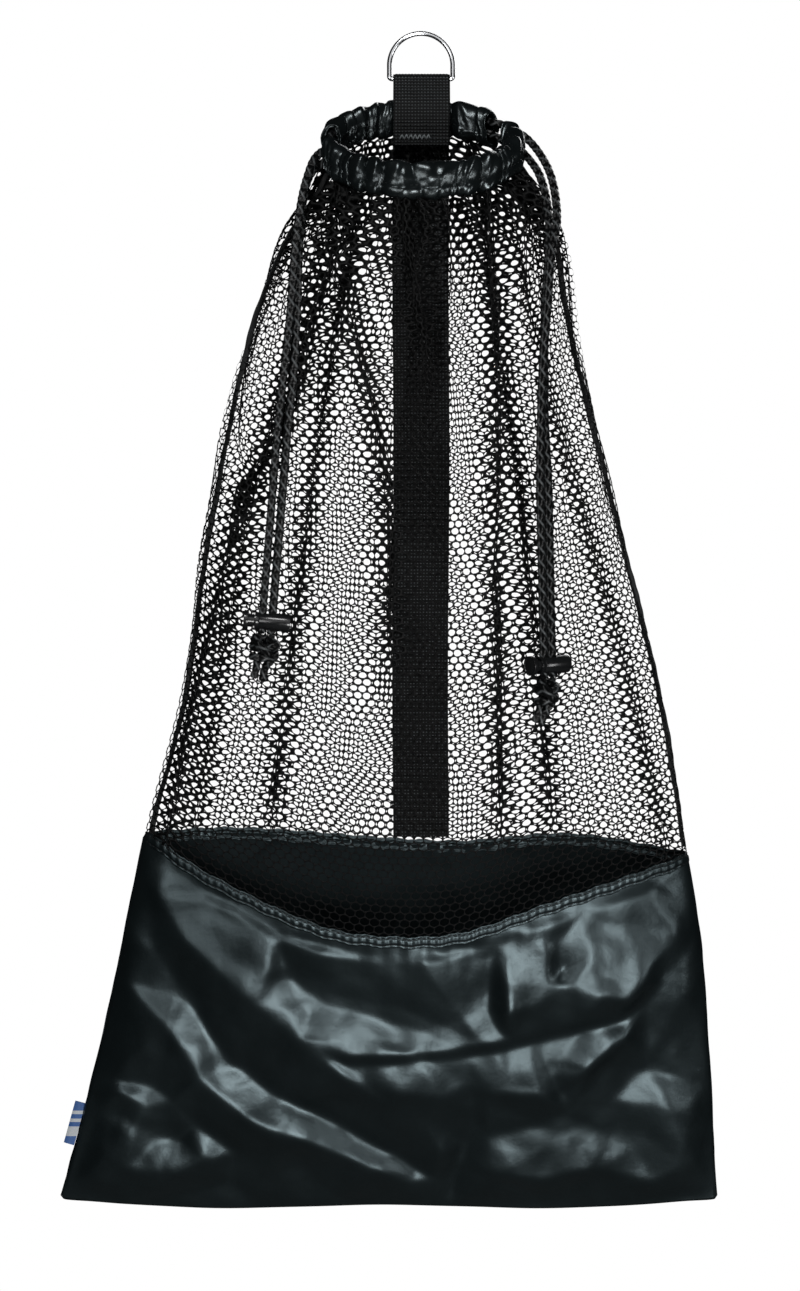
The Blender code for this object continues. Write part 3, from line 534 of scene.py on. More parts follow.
BACK_RUNS = (
    ((-0.188, -0.536, 0.0), (-0.100, -0.536, 0.003), (0.000, -0.542, 0.0), (0.100, -0.540, 0.003),
     (0.181, -0.550, 0.0)),
    ((-0.194, -0.580, 0.0), (-0.206, -0.640, 0.0), (-0.222, -0.700, 0.0), (-0.243, -0.775, 0.0)),
    ((0.186, -0.590, 0.0), (0.194, -0.640, 0.0), (0.199, -0.700, 0.0), (0.201, -0.775, 0.0)),
    ((-0.190, -0.782, 0.0), (-0.100, -0.782, 0.001), (0.000, -0.784, 0.0), (0.100, -0.783, 0.001),
     (0.160, -0.781, 0.0)),
    ((-0.150, -0.560, 0.001), (-0.110, -0.604, 0.006), (-0.050, -0.640, 0.007), (0.020, -0.652, 0.006)),
    ((-0.150, -0.620, -0.001), (-0.080, -0.656, -0.001), (0.000, -0.676, -0.001)),
    ((-0.180, -0.660, 0.004), (-0.120, -0.700, 0.006), (-0.040, -0.724, 0.006), (0.010, -0.744, 0.003)),
    ((0.160, -0.580, 0.002), (0.110, -0.616, 0.006), (0.070, -0.660, 0.006), (0.040, -0.700, 0.004)),
    ((0.140, -0.660, 0.000), (0.090, -0.704, 0.000), (0.060, -0.740, 0.001)),
    ((0.170, -0.690, 0.004), (0.130, -0.730, 0.005), (0.100, -0.760, 0.003)),
    ((-0.200, -0.730, 0.003), (-0.150, -0.744, 0.003), (-0.110, -0.760, 0.001)),
    ((-0.020, -0.560, 0.000), (-0.014, -0.590, 0.004), (0.004, -0.620, 0.003)),
)
CRUMPLES = ((70, 0.0024), (300, 0.0010))
FIELD_X, FIELD_Z, FIELD_STEP = (-0.262, 0.220), (-0.800, -0.510), 0.00125
FIELD_SHAPE = (
    round((FIELD_Z[1] - FIELD_Z[0]) / FIELD_STEP) + 1,
    round((FIELD_X[1] - FIELD_X[0]) / FIELD_STEP) + 1,
)


def facets(runs):
    """Heights, on an even grid of X and Z, of cloth that is flat between the points and runs it is given."""
    points, edges = [], []
    for run in runs:
        edges += [(len(points) + k, len(points) + k + 1) for k in range(len(run) - 1)]
        points += run
    frame_corners = [(x, z, 0.0) for x in FIELD_X for z in FIELD_Z]
    points += frame_corners
    places = [Vector((x, z)) for x, z, _ in points]
    spots, _, triangles, origins, _, _ = delaunay_2d_cdt(places, edges, [], 0, 1e-6)
    heights = []
    for spot, origin in zip(spots, origins):
        if origin:
            heights.append(points[origin[0]][2])
            continue
        # a point made where two runs cross takes the height of its nearest neighbour
        nearest = min(points, key=lambda point: (point[0] - spot.x) ** 2 + (point[1] - spot.y) ** 2)
        heights.append(nearest[2])
    z, x = np.meshgrid(np.linspace(*FIELD_Z, FIELD_SHAPE[0]), np.linspace(*FIELD_X, FIELD_SHAPE[1]),
                       indexing="ij")
    total = np.zeros(FIELD_SHAPE)
    for triangle in triangles:
        (ax, az), (bx, bz), (cx, cz) = [spots[i] for i in triangle]
        whole = (bx - ax) * (cz - az) - (cx - ax) * (bz - az)
        if abs(whole) < 1e-12:
            continue
        second = ((x - ax) * (cz - az) - (cx - ax) * (z - az)) / whole
        third = ((bx - ax) * (z - az) - (x - ax) * (bz - az)) / whole
        inside = (second >= -1e-9) & (third >= -1e-9) & (second + third <= 1 + 1e-9)
        a, b, c = [heights[i] for i in triangle]
        total = np.where(inside, a + (b - a) * second + (c - a) * third, total)
    return total


def soften(field, rounds):
    """Rounds the edges between facets, by averaging each height with its neighbours."""
    for _ in range(rounds):
        padded = np.pad(field, 1, mode="edge")
        across = (padded[1:-1, :-2] + 2 * padded[1:-1, 1:-1] + padded[1:-1, 2:]) / 4
        padded = np.pad(across, 1, mode="edge")
        field = (padded[:-2, 1:-1] + 2 * padded[1:-1, 1:-1] + padded[2:, 1:-1]) / 4
    return field


def crumple(seed):
    """Small random facets, as light cloth keeps from being packed."""
    picks = random.Random(seed)
    total = np.zeros(FIELD_SHAPE)
    for count, height in CRUMPLES:
        points = [((picks.uniform(*FIELD_X), picks.uniform(*FIELD_Z), picks.uniform(-1.0, 1.0) * height),)
                  for _ in range(count)]
        total += soften(facets(points), 3)
    return total


fold_tables = {
    True: soften(facets(FRONT_RUNS), 7) + crumple(3),
    False: soften(facets(BACK_RUNS), 9) + crumple(8),
}


def fold_height(x, z, front):
    """Height of a panel's folds at points of it."""
    row = (z - FIELD_Z[0]) / (FIELD_Z[1] - FIELD_Z[0])
    column = (x - FIELD_X[0]) / (FIELD_X[1] - FIELD_X[0])
    return look_up(fold_tables[front], row, column)


def ripple(x, z, seed):
    """Broad uneven slackness of light cloth, from a few crossing waves."""
    total = np.zeros_like(x)
    for size, height in ((0.075, 0.0016), (0.041, 0.0008), (0.023, 0.0004)):
        turn = seed * 1.3 + size * 40
        a = x * math.cos(turn) + z * math.sin(turn)
        b = z * math.cos(turn) - x * math.sin(turn)
        total += height * np.sin(a * 6.283 / size + seed + 1.2 * np.sin(b * 4.1 / size))
    return total


def smooth_route(route, step):
    """Points a step apart on the smooth curve through a route."""
    fine = []
    for i in range(len(route) - 1):
        before, a, b = route[max(i - 1, 0)], route[i], route[i + 1]
        after = route[min(i + 2, len(route) - 1)]
        span = (b - a).length
        leave = (b - before) * (span / max(span + (a - before).length, 1e-9))
        arrive = (after - a) * (span / max((after - b).length + span, 1e-9))
        for k in range(16):
            s = k / 16
            fine.append((2 * s**3 - 3 * s**2 + 1) * a + (3 * s**2 - 2 * s**3) * b
                        + (s**3 - 2 * s**2 + s) * leave + (s**3 - s**2) * arrive)
    fine.append(route[-1])
    walk = np.array([0.0] + [(q - p).length for p, q in zip(fine, fine[1:])]).cumsum()
    stations = np.linspace(0.0, walk[-1], max(2, round(walk[-1] / step)) + 1)
    return np.stack([np.interp(stations, walk, [p[i] for p in fine]) for i in range(3)], axis=1)


def grid_faces(rows, columns):
    """Quads of a grid of points that is rows + 1 by columns + 1."""
    row, column = np.meshgrid(np.arange(rows), np.arange(columns), indexing="ij")
    a = (row * (columns + 1) + column).ravel()
    return np.stack([a, a + columns + 1, a + columns + 2, a + 1], axis=-1)


def base_place(u, v, front):
    """Points of a base panel, u across from seam to seam and v down from the hem to the foot."""
    angles, _ = base_tables[front]
    side_z = BASE_TOP_SIDE + (FOOT_SIDE_Z - BASE_TOP_SIDE) * v
    angle = look_up(angles, v, u)
    top = base_z(angle) - 0.45 * HEM_TALL
    foot = FOOT_SIDE_Z - FOOT_BELLY * np.abs(np.cos(angle)) ** 0.5
    z = top + (foot - top) * v
    place, outward = wall_place(angle, side_z, z)
    x = place[:, 0]
    seam = np.clip(np.minimum(u, 1 - u) * 14.0, 0.0, 1.0)
    seam = seam * (2 - seam)
    edges = np.clip(np.minimum(v * 16.0, (1 - v) * 14.0), 0.0, 1.0)
    edges = edges * (2 - edges)
    out = fold_height(x, z, front) * edges * seam
    out += 0.5 * ripple(x, z, 2.0 if front else 5.0) * edges * (0.4 + 0.6 * seam)
    pucker = np.sin(x * 6.283 / 0.014 + 3.0 * np.sin(x * 31.0)) * np.exp(-v * 0.24 / 0.012)
    out += 0.0005 * pucker * (0.5 + 0.5 * np.sin(x * 23.0 + 1.0))
    low = np.clip((v - 0.90) / 0.10, 0.0, 1.0)
    out += 0.0008 * low * np.sin(x * 6.283 / 0.071 + 1.0) * (1.0 if front else -0.5)
    place[:, 2] += 0.0014 * low * np.sin(x * 6.283 / 0.23 + 2.2) * seam
    return place + outward * out[:, None]


BASE_TOP_SIDE = BASE_SIDE_Z - HEM_TALL - 0.0003
base_tables = {
    front: even_angles(math.pi if front else 0.0, np.linspace(BASE_TOP_SIDE, FOOT_SIDE_Z, 33))
    for front in (True, False)
}

NYLON_COLOUR = (0.0040, 0.0062, 0.0068)
nylon_finish, tree, shader = new_finish("base_taffeta", NYLON_COLOUR, 0.42)
shader.inputs["Specular IOR Level"].default_value = 0.85
shader.inputs["Specular Tint"].default_value = (0.74, 0.94, 1.0, 1.0)
uneven = dye(tree, shader, NYLON_COLOUR, 26.0, 0.35)
place = tree.nodes.new("ShaderNodeTexCoord")
weave_map = tree.nodes.new("ShaderNodeMapping")
weave_map.inputs["Scale"].default_value = (2600.0, 1.0, 2600.0)
warp = tree.nodes.new("ShaderNodeTexWave")
warp.bands_direction = "X"
warp.inputs["Scale"].default_value = 0.16
weft = tree.nodes.new("ShaderNodeTexWave")
weft.bands_direction = "Z"
weft.inputs["Scale"].default_value = 0.16
weave = tree.nodes.new("ShaderNodeMath")
weave.operation = "MULTIPLY"
wrinkles = tree.nodes.new("ShaderNodeTexNoise")
wrinkles.inputs["Scale"].default_value = 34.0
wrinkles.inputs["Detail"].default_value = 6.0
wrinkles.inputs["Roughness"].default_value = 0.58
height = tree.nodes.new("ShaderNodeMath")
height.operation = "MULTIPLY_ADD"
height.inputs[1].default_value = 0.05
tree.links.new(place.outputs["Object"], weave_map.inputs["Vector"])
tree.links.new(weave_map.outputs["Vector"], warp.inputs["Vector"])
tree.links.new(weave_map.outputs["Vector"], weft.inputs["Vector"])
tree.links.new(warp.outputs["Fac"], weave.inputs[0])
tree.links.new(weft.outputs["Fac"], weave.inputs[1])
tree.links.new(place.outputs["Object"], wrinkles.inputs["Vector"])
tree.links.new(weave.outputs[0], height.inputs[0])
tree.links.new(wrinkles.outputs["Fac"], height.inputs[2])
add_bump(tree, shader, height.outputs[0], 0.22, 0.003)
gloss = tree.nodes.new("ShaderNodeMapRange")
gloss.inputs["To Min"].default_value = 0.30
gloss.inputs["To Max"].default_value = 0.38
tree.links.new(uneven.outputs["Mask"], gloss.inputs["Value"])
tree.links.new(gloss.outputs["Result"], shader.inputs["Roughness"])

inner_finish = nylon_finish.copy()
inner_finish.name = "base_taffeta_wrong_side"
inner_shader = inner_finish.node_tree.nodes["Principled BSDF"]
for link in list(inner_shader.inputs["Roughness"].links):
    inner_finish.node_tree.links.remove(link)
inner_shader.inputs["Roughness"].default_value = 0.66
inner_shader.inputs["Specular IOR Level"].default_value = 0.20


def thicken(piece, thickness, offset=-1.0):
    """Gives a sheet its cloth's thickness, behind the face that it was drawn on."""
    for other in bpy.context.selected_objects:
        other.select_set(False)
    piece.select_set(True)
    bpy.context.view_layer.objects.active = piece
    wall = piece.modifiers.new("cloth_thickness", "SOLIDIFY")
    wall.thickness = thickness
    wall.offset = offset
    wall.material_offset = len(piece.data.materials) - 1
    bpy.ops.object.modifier_apply(modifier=wall.name)
    piece.select_set(False)


def panel_faces(rows, columns):
    """Quads of a panel that is drawn from its left seam when seen from outside, facing out."""
    return grid_faces(rows, columns)[:, ::-1]


PANEL_COLUMNS, PANEL_ROWS = 264, 164
# the front panel's rounded flat size, used for the back one too, which is really a little taller
panel_v, panel_u = np.meshgrid(np.linspace(0, 1, PANEL_ROWS + 1), np.linspace(0, 1, PANEL_COLUMNS + 1),
                               indexing="ij")
for side, front in (("front", True), ("back", False)):
    drawn = base_place(panel_u.ravel(), panel_v.ravel(), front)
    panel = add_shape(f"{side}_base", drawn, panel_faces(PANEL_ROWS, PANEL_COLUMNS), nylon_finish)
    panel.data.materials.append(inner_finish)
    thicken(panel, BASE_THICKNESS)
    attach(panel, "bag")
    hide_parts(f"{side}_base_panel")

# ---------------------------------------------------------------------------------------------
# Base hems: the base's top edge is turned over twice and sewn down over the net with two rows of
# lockstitch, so the band lies a little proud of the panel and puckers between the stitches.
# ---------------------------------------------------------------------------------------------
HEM_THICKNESS = 0.0020
STITCH_LENGTH, STITCH_GAP, THREAD_RADIUS = 0.0026, 0.0008, 0.00028
HEM_STITCH_ROWS = (0.20, 0.80)
# a stitch's outline: how far along it, how thick and how high the thread is
STITCH_PROFILE = ((0.0, 0.45, -0.6), (0.2, 1.0, 0.5), (0.8, 1.0, 0.5), (1.0, 0.45, -0.6))
hem_finish = nylon_finish.copy()
hem_finish.name = "hem_taffeta"
THREAD_COLOUR = (0.012, 0.013, 0.014)
thread_finish, tree, shader = new_finish("sewing_thread", THREAD_COLOUR, 0.45)
dye(tree, shader, THREAD_COLOUR, 300.0, 0.8)
twist = tree.nodes.new("ShaderNodeTexWave")
twist.bands_direction = "DIAGONAL"
twist.inputs["Scale"].default_value = 900.0
twist_place = tree.nodes.new("ShaderNodeTexCoord")
tree.links.new(twist_place.outputs["Object"], twist.inputs["Vector"])
add_bump(tree, shader, twist.outputs["Fac"], 0.6, 0.0002)


def add_stitches(name, runs, radius, finish, length=STITCH_LENGTH, gap=STITCH_GAP):
    """Rows of stitches: each run is a list of (point, outward) along a row, cut into short raised threads."""
    points, faces = [], []
    for places, outwards in runs:
        places, outwards = np.asarray(places), np.asarray(outwards)
        walk = np.concatenate([[0.0], np.linalg.norm(np.diff(places, axis=0), axis=1).cumsum()])
        count = int(walk[-1] / (length + gap))
        for n in range(count):
            base = len(points)
            for k, (part, swell, lift) in enumerate(STITCH_PROFILE):
                at = n * (length + gap) + gap / 2 + length * part
                centre = np.array([np.interp(at, walk, places[:, i]) for i in range(3)])
                ahead = np.array([np.interp(at + 0.0004, walk, places[:, i]) for i in range(3)])
                out = np.array([np.interp(at, walk, outwards[:, i]) for i in range(3)])
                run = ahead - centre
                run /= np.linalg.norm(run) + 1e-12
                out /= np.linalg.norm(out)
                aside = np.cross(run, out)
                for m in range(5):
                    turn = 2 * math.pi * m / 5
                    spoke = aside * math.cos(turn) + out * math.sin(turn)
                    points.append(centre + out * lift * radius + spoke * radius * swell)
            for k in range(3):
                a = base + 5 * k
                faces += [(a + m, a + (m + 1) % 5, a + 5 + (m + 1) % 5, a + 5 + m) for m in range(5)]
            faces.append(tuple(base + m for m in range(4, -1, -1)))
            faces.append(tuple(base + 15 + m for m in range(5)))
    return add_shape(name, points, faces, finish)


HEM_COLUMNS, HEM_SECTION = 520, 14
for side, front in (("front", True), ("back", False)):
    middle = math.pi if front else 0.0
    angle = even_angles(middle, [BASE_SIDE_Z], HEM_COLUMNS + 1)[0][0]
    edge_z = base_z(angle)
    rows, stitch_rows = [], []
    for k in range(HEM_SECTION + 1):
        part = k / HEM_SECTION
        place, outward = wall_place(angle, np.full_like(angle, BASE_SIDE_Z - HEM_TALL * part),
                                    edge_z - HEM_TALL * part)
        puff = HEM_THICKNESS * 0.5 * (math.sin(math.pi * part) ** 0.35)
        dip = sum(math.exp(-((part - row) / 0.07) ** 2) for row in HEM_STITCH_ROWS)
        ruck = np.sin(place[:, 0] * 6.283 / 0.0052 + 1.5 * np.sin(place[:, 0] * 47.0))
        out = puff * (1 + 0.22 * ruck) - 0.0007 * dip
        place[:, 2] += 0.0005 * np.sin(place[:, 0] * 6.283 / 0.019 + 1.0) + 0.0003 * ruck * (part - 0.5)
        rows.append(place + outward * out[:, None])
        if any(abs(part - row) < 0.5 / HEM_SECTION for row in HEM_STITCH_ROWS):
            stitch_rows.append((rows[-1] + outward * 0.0001, outward))
    points = np.concatenate(rows)
    hem = add_shape(f"{side}_hem", points, panel_faces(HEM_SECTION, HEM_COLUMNS), hem_finish)
    thicken(hem, 0.0007)
    threads = add_stitches(f"{side}_hem_stitches", stitch_rows, THREAD_RADIUS, thread_finish)
    for piece in (hem, threads):
        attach(piece, "bag")
    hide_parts(f"{side}_base_hem")

# ---------------------------------------------------------------------------------------------
# Side seams: the edges of net and base are turned in and bound with a narrow tape, which shows as a thin
# stiff line down both sides of the bag and along the foot. Here it is drawn down both sides of the net only.
# ---------------------------------------------------------------------------------------------
SEAM_TAPE_WIDTH, SEAM_TAPE_THICKNESS = 0.0040, 0.0011
TAPE_COLOUR = (0.006, 0.007, 0.0075)
tape_finish, tree, shader = new_finish("seam_tape", TAPE_COLOUR, 0.62)
dye(tree, shader, TAPE_COLOUR, 70.0, 0.5)
ribs = tree.nodes.new("ShaderNodeTexWave")
ribs.bands_direction = "Z"
ribs.inputs["Scale"].default_value = 420.0
ribs_place = tree.nodes.new("ShaderNodeTexCoord")
tree.links.new(ribs_place.outputs["Object"], ribs.inputs["Vector"])
add_bump(tree, shader, ribs.outputs["Fac"], 0.5, 0.0004)


def add_ribbon(name, line, aside, width, thickness, finish, across=8):
    """A soft-edged tape along a line: its width lies along aside at each point."""
    line, aside = np.asarray(line), np.asarray(aside)
    ahead = np.gradient(line, axis=0)
    ahead /= np.linalg.norm(ahead, axis=1, keepdims=True)
    aside = aside / np.linalg.norm(aside, axis=1, keepdims=True)
    out = np.cross(aside, ahead)
    rows = []
    section = 2 * across
    for k in range(section):
        turn = 2 * math.pi * k / section
        wide = math.copysign(abs(math.cos(turn)) ** 0.6, math.cos(turn)) * width / 2
        thick = math.copysign(abs(math.sin(turn)) ** 0.6, math.sin(turn)) * thickness / 2
        rows.append(line + aside * wide + out * thick)
    points = np.stack(rows, axis=1).reshape(-1, 3)
    faces = []
    for i in range(len(line) - 1):
        a, b = i * section, (i + 1) * section
        faces += [(a + k, a + (k + 1) % section, b + (k + 1) % section, b + k) for k in range(section)]
    faces.append(tuple(range(section - 1, -1, -1)))
    faces.append(tuple((len(line) - 1) * section + k for k in range(section)))
    return add_shape(name, points, faces, finish)


for side, outline in (("left", LEFT_SIDE), ("right", RIGHT_SIDE)):
    z = np.linspace(MOUTH_SIDE_Z - 0.004, BASE_SIDE_Z - 0.004, 260)
    x = along(outline, z)
    y = BACK_LEAN * (BAR_Z - z) - along(HALF_DEPTH, z)
    wander = 0.0004 * np.sin(z * 6.283 / 0.013 + 2 * np.sin(z * 50)) + 0.0007 * np.sin(z * 6.283 / 0.045)
    inward = 1.0 if side == "left" else -1.0
    line = np.stack([x + inward * (0.0022 + wander * 0.3), y + wander, z], axis=1)
    turn = 0.7 * np.sin(z * 6.283 / 0.21 + (0.0 if side == "left" else 1.5))
    aside = np.stack([np.cos(turn) * inward, np.sin(turn), np.zeros_like(z)], axis=1)
    tape = add_ribbon(f"{side}_seam_tape", line, aside, SEAM_TAPE_WIDTH, SEAM_TAPE_THICKNESS, tape_finish, 5)
    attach(tape, "bag")

# ---------------------------------------------------------------------------------------------
# Side label: a short woven ribbon folded in half and caught in the left seam of the base, with
# plain woven bands and no lettering.
# ---------------------------------------------------------------------------------------------
LABEL_TURN = math.radians(15.5)
LABEL_THICKNESS = 0.0004
label_low, label_high = (Vector(corner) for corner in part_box("side_label"))
label_tall = (label_high.z - label_low.z) / math.cos(LABEL_TURN) - 0.0018
label_wide = 0.0070
bpy.ops.mesh.primitive_grid_add(x_subdivisions=10, y_subdivisions=24, size=1.0,
                                location=(label_low + label_high) / 2,
                                rotation=(math.radians(90.0), LABEL_TURN, 0.0))
label = bpy.context.object
label.name = label.data.name = "side_label_ribbon"
label.scale = (label_wide * 2.0, label_tall, 1.0)
for vertex in label.data.vertices:
    # the ribbon goes out from the seam, turns over at its outer edge and comes back behind itself
    across = vertex.co.x + 0.5
    turned = 0.5 - abs(across - 0.5)
    vertex.co.x = 0.25 - turned
    vertex.co.z = 0.0007 * math.copysign(min(1.0, abs(across - 0.5) * 8), across - 0.5)
    vertex.co.z += 0.0004 * math.sin(vertex.co.y * 7.0)
bpy.ops.object.transform_apply(location=True, rotation=True, scale=True)
label_wall = label.modifiers.new("ribbon_thickness", "SOLIDIFY")
label_wall.thickness = LABEL_THICKNESS
label_wall.offset = 0.0
bpy.ops.object.modifier_apply(modifier=label_wall.name)
bpy.ops.object.shade_smooth_by_angle(angle=math.radians(50.0))
label.select_set(False)

LABEL_BLUE, LABEL_WHITE = (0.035, 0.12, 0.36), (0.62, 0.65, 0.68)
label_finish, tree, shader = new_finish("label_ribbon", LABEL_BLUE, 0.55)
shader.inputs["Sheen Weight"].default_value = 0.25
place = tree.nodes.new("ShaderNodeTexCoord")
apart = tree.nodes.new("ShaderNodeSeparateXYZ")
bands = tree.nodes.new("ShaderNodeValToRGB")
bands.color_ramp.interpolation = "CONSTANT"
bands.color_ramp.elements[0].position = 0.0
bands.color_ramp.elements[0].color = (*LABEL_BLUE, 1.0)
bands.color_ramp.elements[1].position = 0.78
bands.color_ramp.elements[1].color = (*LABEL_BLUE, 1.0)
for position, colour in ((0.20, LABEL_WHITE), (0.42, LABEL_BLUE), (0.52, LABEL_WHITE), (0.60, LABEL_BLUE),
                         (0.70, LABEL_WHITE)):
    bands.color_ramp.elements.new(position).color = (*colour, 1.0)
height = tree.nodes.new("ShaderNodeMapRange")
height.inputs["From Min"].default_value = label_low.z
height.inputs["From Max"].default_value = label_high.z
threads = tree.nodes.new("ShaderNodeTexNoise")
threads.inputs["Scale"].default_value = 1800.0
fleck = tree.nodes.new("ShaderNodeMix")
fleck.data_type = "RGBA"
fleck.blend_type = "MULTIPLY"
fleck.inputs["Factor"].default_value = 0.45
tree.links.new(place.outputs["Object"], apart.inputs["Vector"])
tree.links.new(apart.outputs["Z"], height.inputs["Value"])
tree.links.new(height.outputs["Result"], bands.inputs["Fac"])
tree.links.new(place.outputs["Object"], threads.inputs["Vector"])
tree.links.new(bands.outputs["Color"], fleck.inputs["A"])
tree.links.new(threads.outputs["Color"], fleck.inputs["B"])
tree.links.new(fleck.outputs["Result"], shader.inputs["Base Color"])
add_bump(tree, shader, threads.outputs["Fac"], 0.6, 0.0003)
label.data.materials.clear()
label.data.materials.append(label_finish)
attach(label, "bag")
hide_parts("side_label")

# ---------------------------------------------------------------------------------------------
# Casing: a tube of glossy black nylon sewn round the mouth. The drawcords inside draw it up into
# thirty-six puckers, and a row of topstitching pinches it below the cords.
# ---------------------------------------------------------------------------------------------
CASING_WALL = 0.0009
PUFF_COUNT, PUFF_SIZE, PUFF_HEIGHT = 36, (0.35, 1.9), 0.0030
CASING_COLUMNS, CASING_ROUND = 900, 34
TOPSTITCH_LEVEL = -0.30
EXIT_HALF_ANGLE = math.radians(13.0)
CORD_EXITS = {"left": math.radians(-90.0), "right": math.radians(61.0)}
CASING_GAPE = math.radians(3.0)


def casing_line(angle):
    """The casing's middle line and its outward direction: angle 0 at the back."""
    angle = np.asarray(angle, dtype=float)
    centre = np.stack([CASING_HALF_WIDTH * np.sin(angle),
                       CASING_CENTRE[1] + CASING_HALF_DEPTH * np.cos(angle),
                       CASING_CENTRE[2] + CASING_RISE * np.cos(angle)], axis=-1)
    outward = np.stack([CASING_HALF_DEPTH * np.sin(angle), CASING_HALF_WIDTH * np.cos(angle), 0 * angle],
                       axis=-1)
    return centre, outward / np.linalg.norm(outward, axis=-1, keepdims=True)


puff_picks = random.Random(11)
puff_sizes = np.array([math.exp(puff_picks.uniform(math.log(PUFF_SIZE[0]), math.log(PUFF_SIZE[1])))
                       for _ in range(PUFF_COUNT)])
puff_edges = np.concatenate([[0.0], puff_sizes.cumsum()]) / puff_sizes.sum() * 2 * math.pi


def casing_skin(angle, turn, inset):
    """Points of the gathered tube of cloth: turn goes round its section, 0 facing outwards."""
    centre, outward = casing_line(angle)
    across = np.copysign(np.abs(np.cos(turn)) ** 0.75, np.cos(turn))
    level = np.copysign(np.abs(np.sin(turn)) ** 0.8, np.sin(turn))
    slanted = (angle + 0.045 * level * np.sin(5.0 * angle + 1.0)
               + 0.02 * np.sin(2.2 * level + 9.0 * angle)) % (2 * math.pi)
    puff = np.clip(np.searchsorted(puff_edges, slanted, side="right") - 1, 0, PUFF_COUNT - 1)
    broad = puff_edges[puff + 1] - puff_edges[puff]
    part = (slanted - puff_edges[puff]) / broad
    size = np.clip(broad * 0.052 / 0.0085, 0.25, 1.0)
    dome = np.sin(math.pi * part) ** 0.7
    wrinkle = np.sin(math.pi * part) ** 2 * np.sin(6.283 * (2.2 * part + 0.6 * level) + 1.7 * puff)
    pinch = np.exp(-((level - TOPSTITCH_LEVEL) / 0.09) ** 2)
    edge = np.abs(level) ** 3
    lift = PUFF_HEIGHT * size * dome + 0.00045 * size * wrinkle
    wide = CASING_THICK / 2 - inset - 0.0016 + lift * (1 - 0.35 * pinch) - 0.0012 * pinch
    tall = CASING_TALL / 2 - inset - 0.0010 + 0.0022 * size * dome
    along_way = np.stack([CASING_HALF_WIDTH * np.cos(angle), -CASING_HALF_DEPTH * np.sin(angle),
                          -CASING_RISE * np.sin(angle)], axis=-1)
    along_way /= np.linalg.norm(along_way, axis=-1, keepdims=True)
    slide = 0.0010 * size * np.sin(6.283 * part + 0.8 * puff)
    ruffle = 0.0016 * size * np.sin(6.283 * part + 1.3 * puff) * edge
    spot = centre + outward * (wide * across + ruffle)[..., None] + along_way * slide[..., None]
    spot[..., 2] += tall * level
    return spot


CASING_COLOUR = (0.005, 0.0068, 0.0072)
casing_finish, tree, shader = new_finish("casing_nylon_gloss", CASING_COLOUR, 0.30)
shader.inputs["Specular Tint"].default_value = (0.84, 0.97, 1.0, 1.0)
shader.inputs["Specular IOR Level"].default_value = 0.8
shader.inputs["Coat Weight"].default_value = 0.25
shader.inputs["Coat Roughness"].default_value = 0.22
uneven = dye(tree, shader, CASING_COLOUR, 60.0, 0.4)
place = tree.nodes.new("ShaderNodeTexCoord")
crumple = tree.nodes.new("ShaderNodeTexNoise")
crumple.inputs["Scale"].default_value = 150.0
crumple.inputs["Detail"].default_value = 4.0
grain = tree.nodes.new("ShaderNodeTexVoronoi")
grain.inputs["Scale"].default_value = 1900.0
height = tree.nodes.new("ShaderNodeMath")
height.operation = "MULTIPLY_ADD"
height.inputs[1].default_value = 0.10
tree.links.new(place.outputs["Object"], crumple.inputs["Vector"])
tree.links.new(place.outputs["Object"], grain.inputs["Vector"])
tree.links.new(grain.outputs["Distance"], height.inputs[0])
tree.links.new(crumple.outputs["Fac"], height.inputs[2])
add_bump(tree, shader, height.outputs[0], 0.28, 0.0012)
gloss = tree.nodes.new("ShaderNodeMapRange")
gloss.inputs["To Min"].default_value = 0.18
gloss.inputs["To Max"].default_value = 0.28
tree.links.new(uneven.outputs["Mask"], gloss.inputs["Value"])
tree.links.new(gloss.outputs["Result"], shader.inputs["Roughness"])

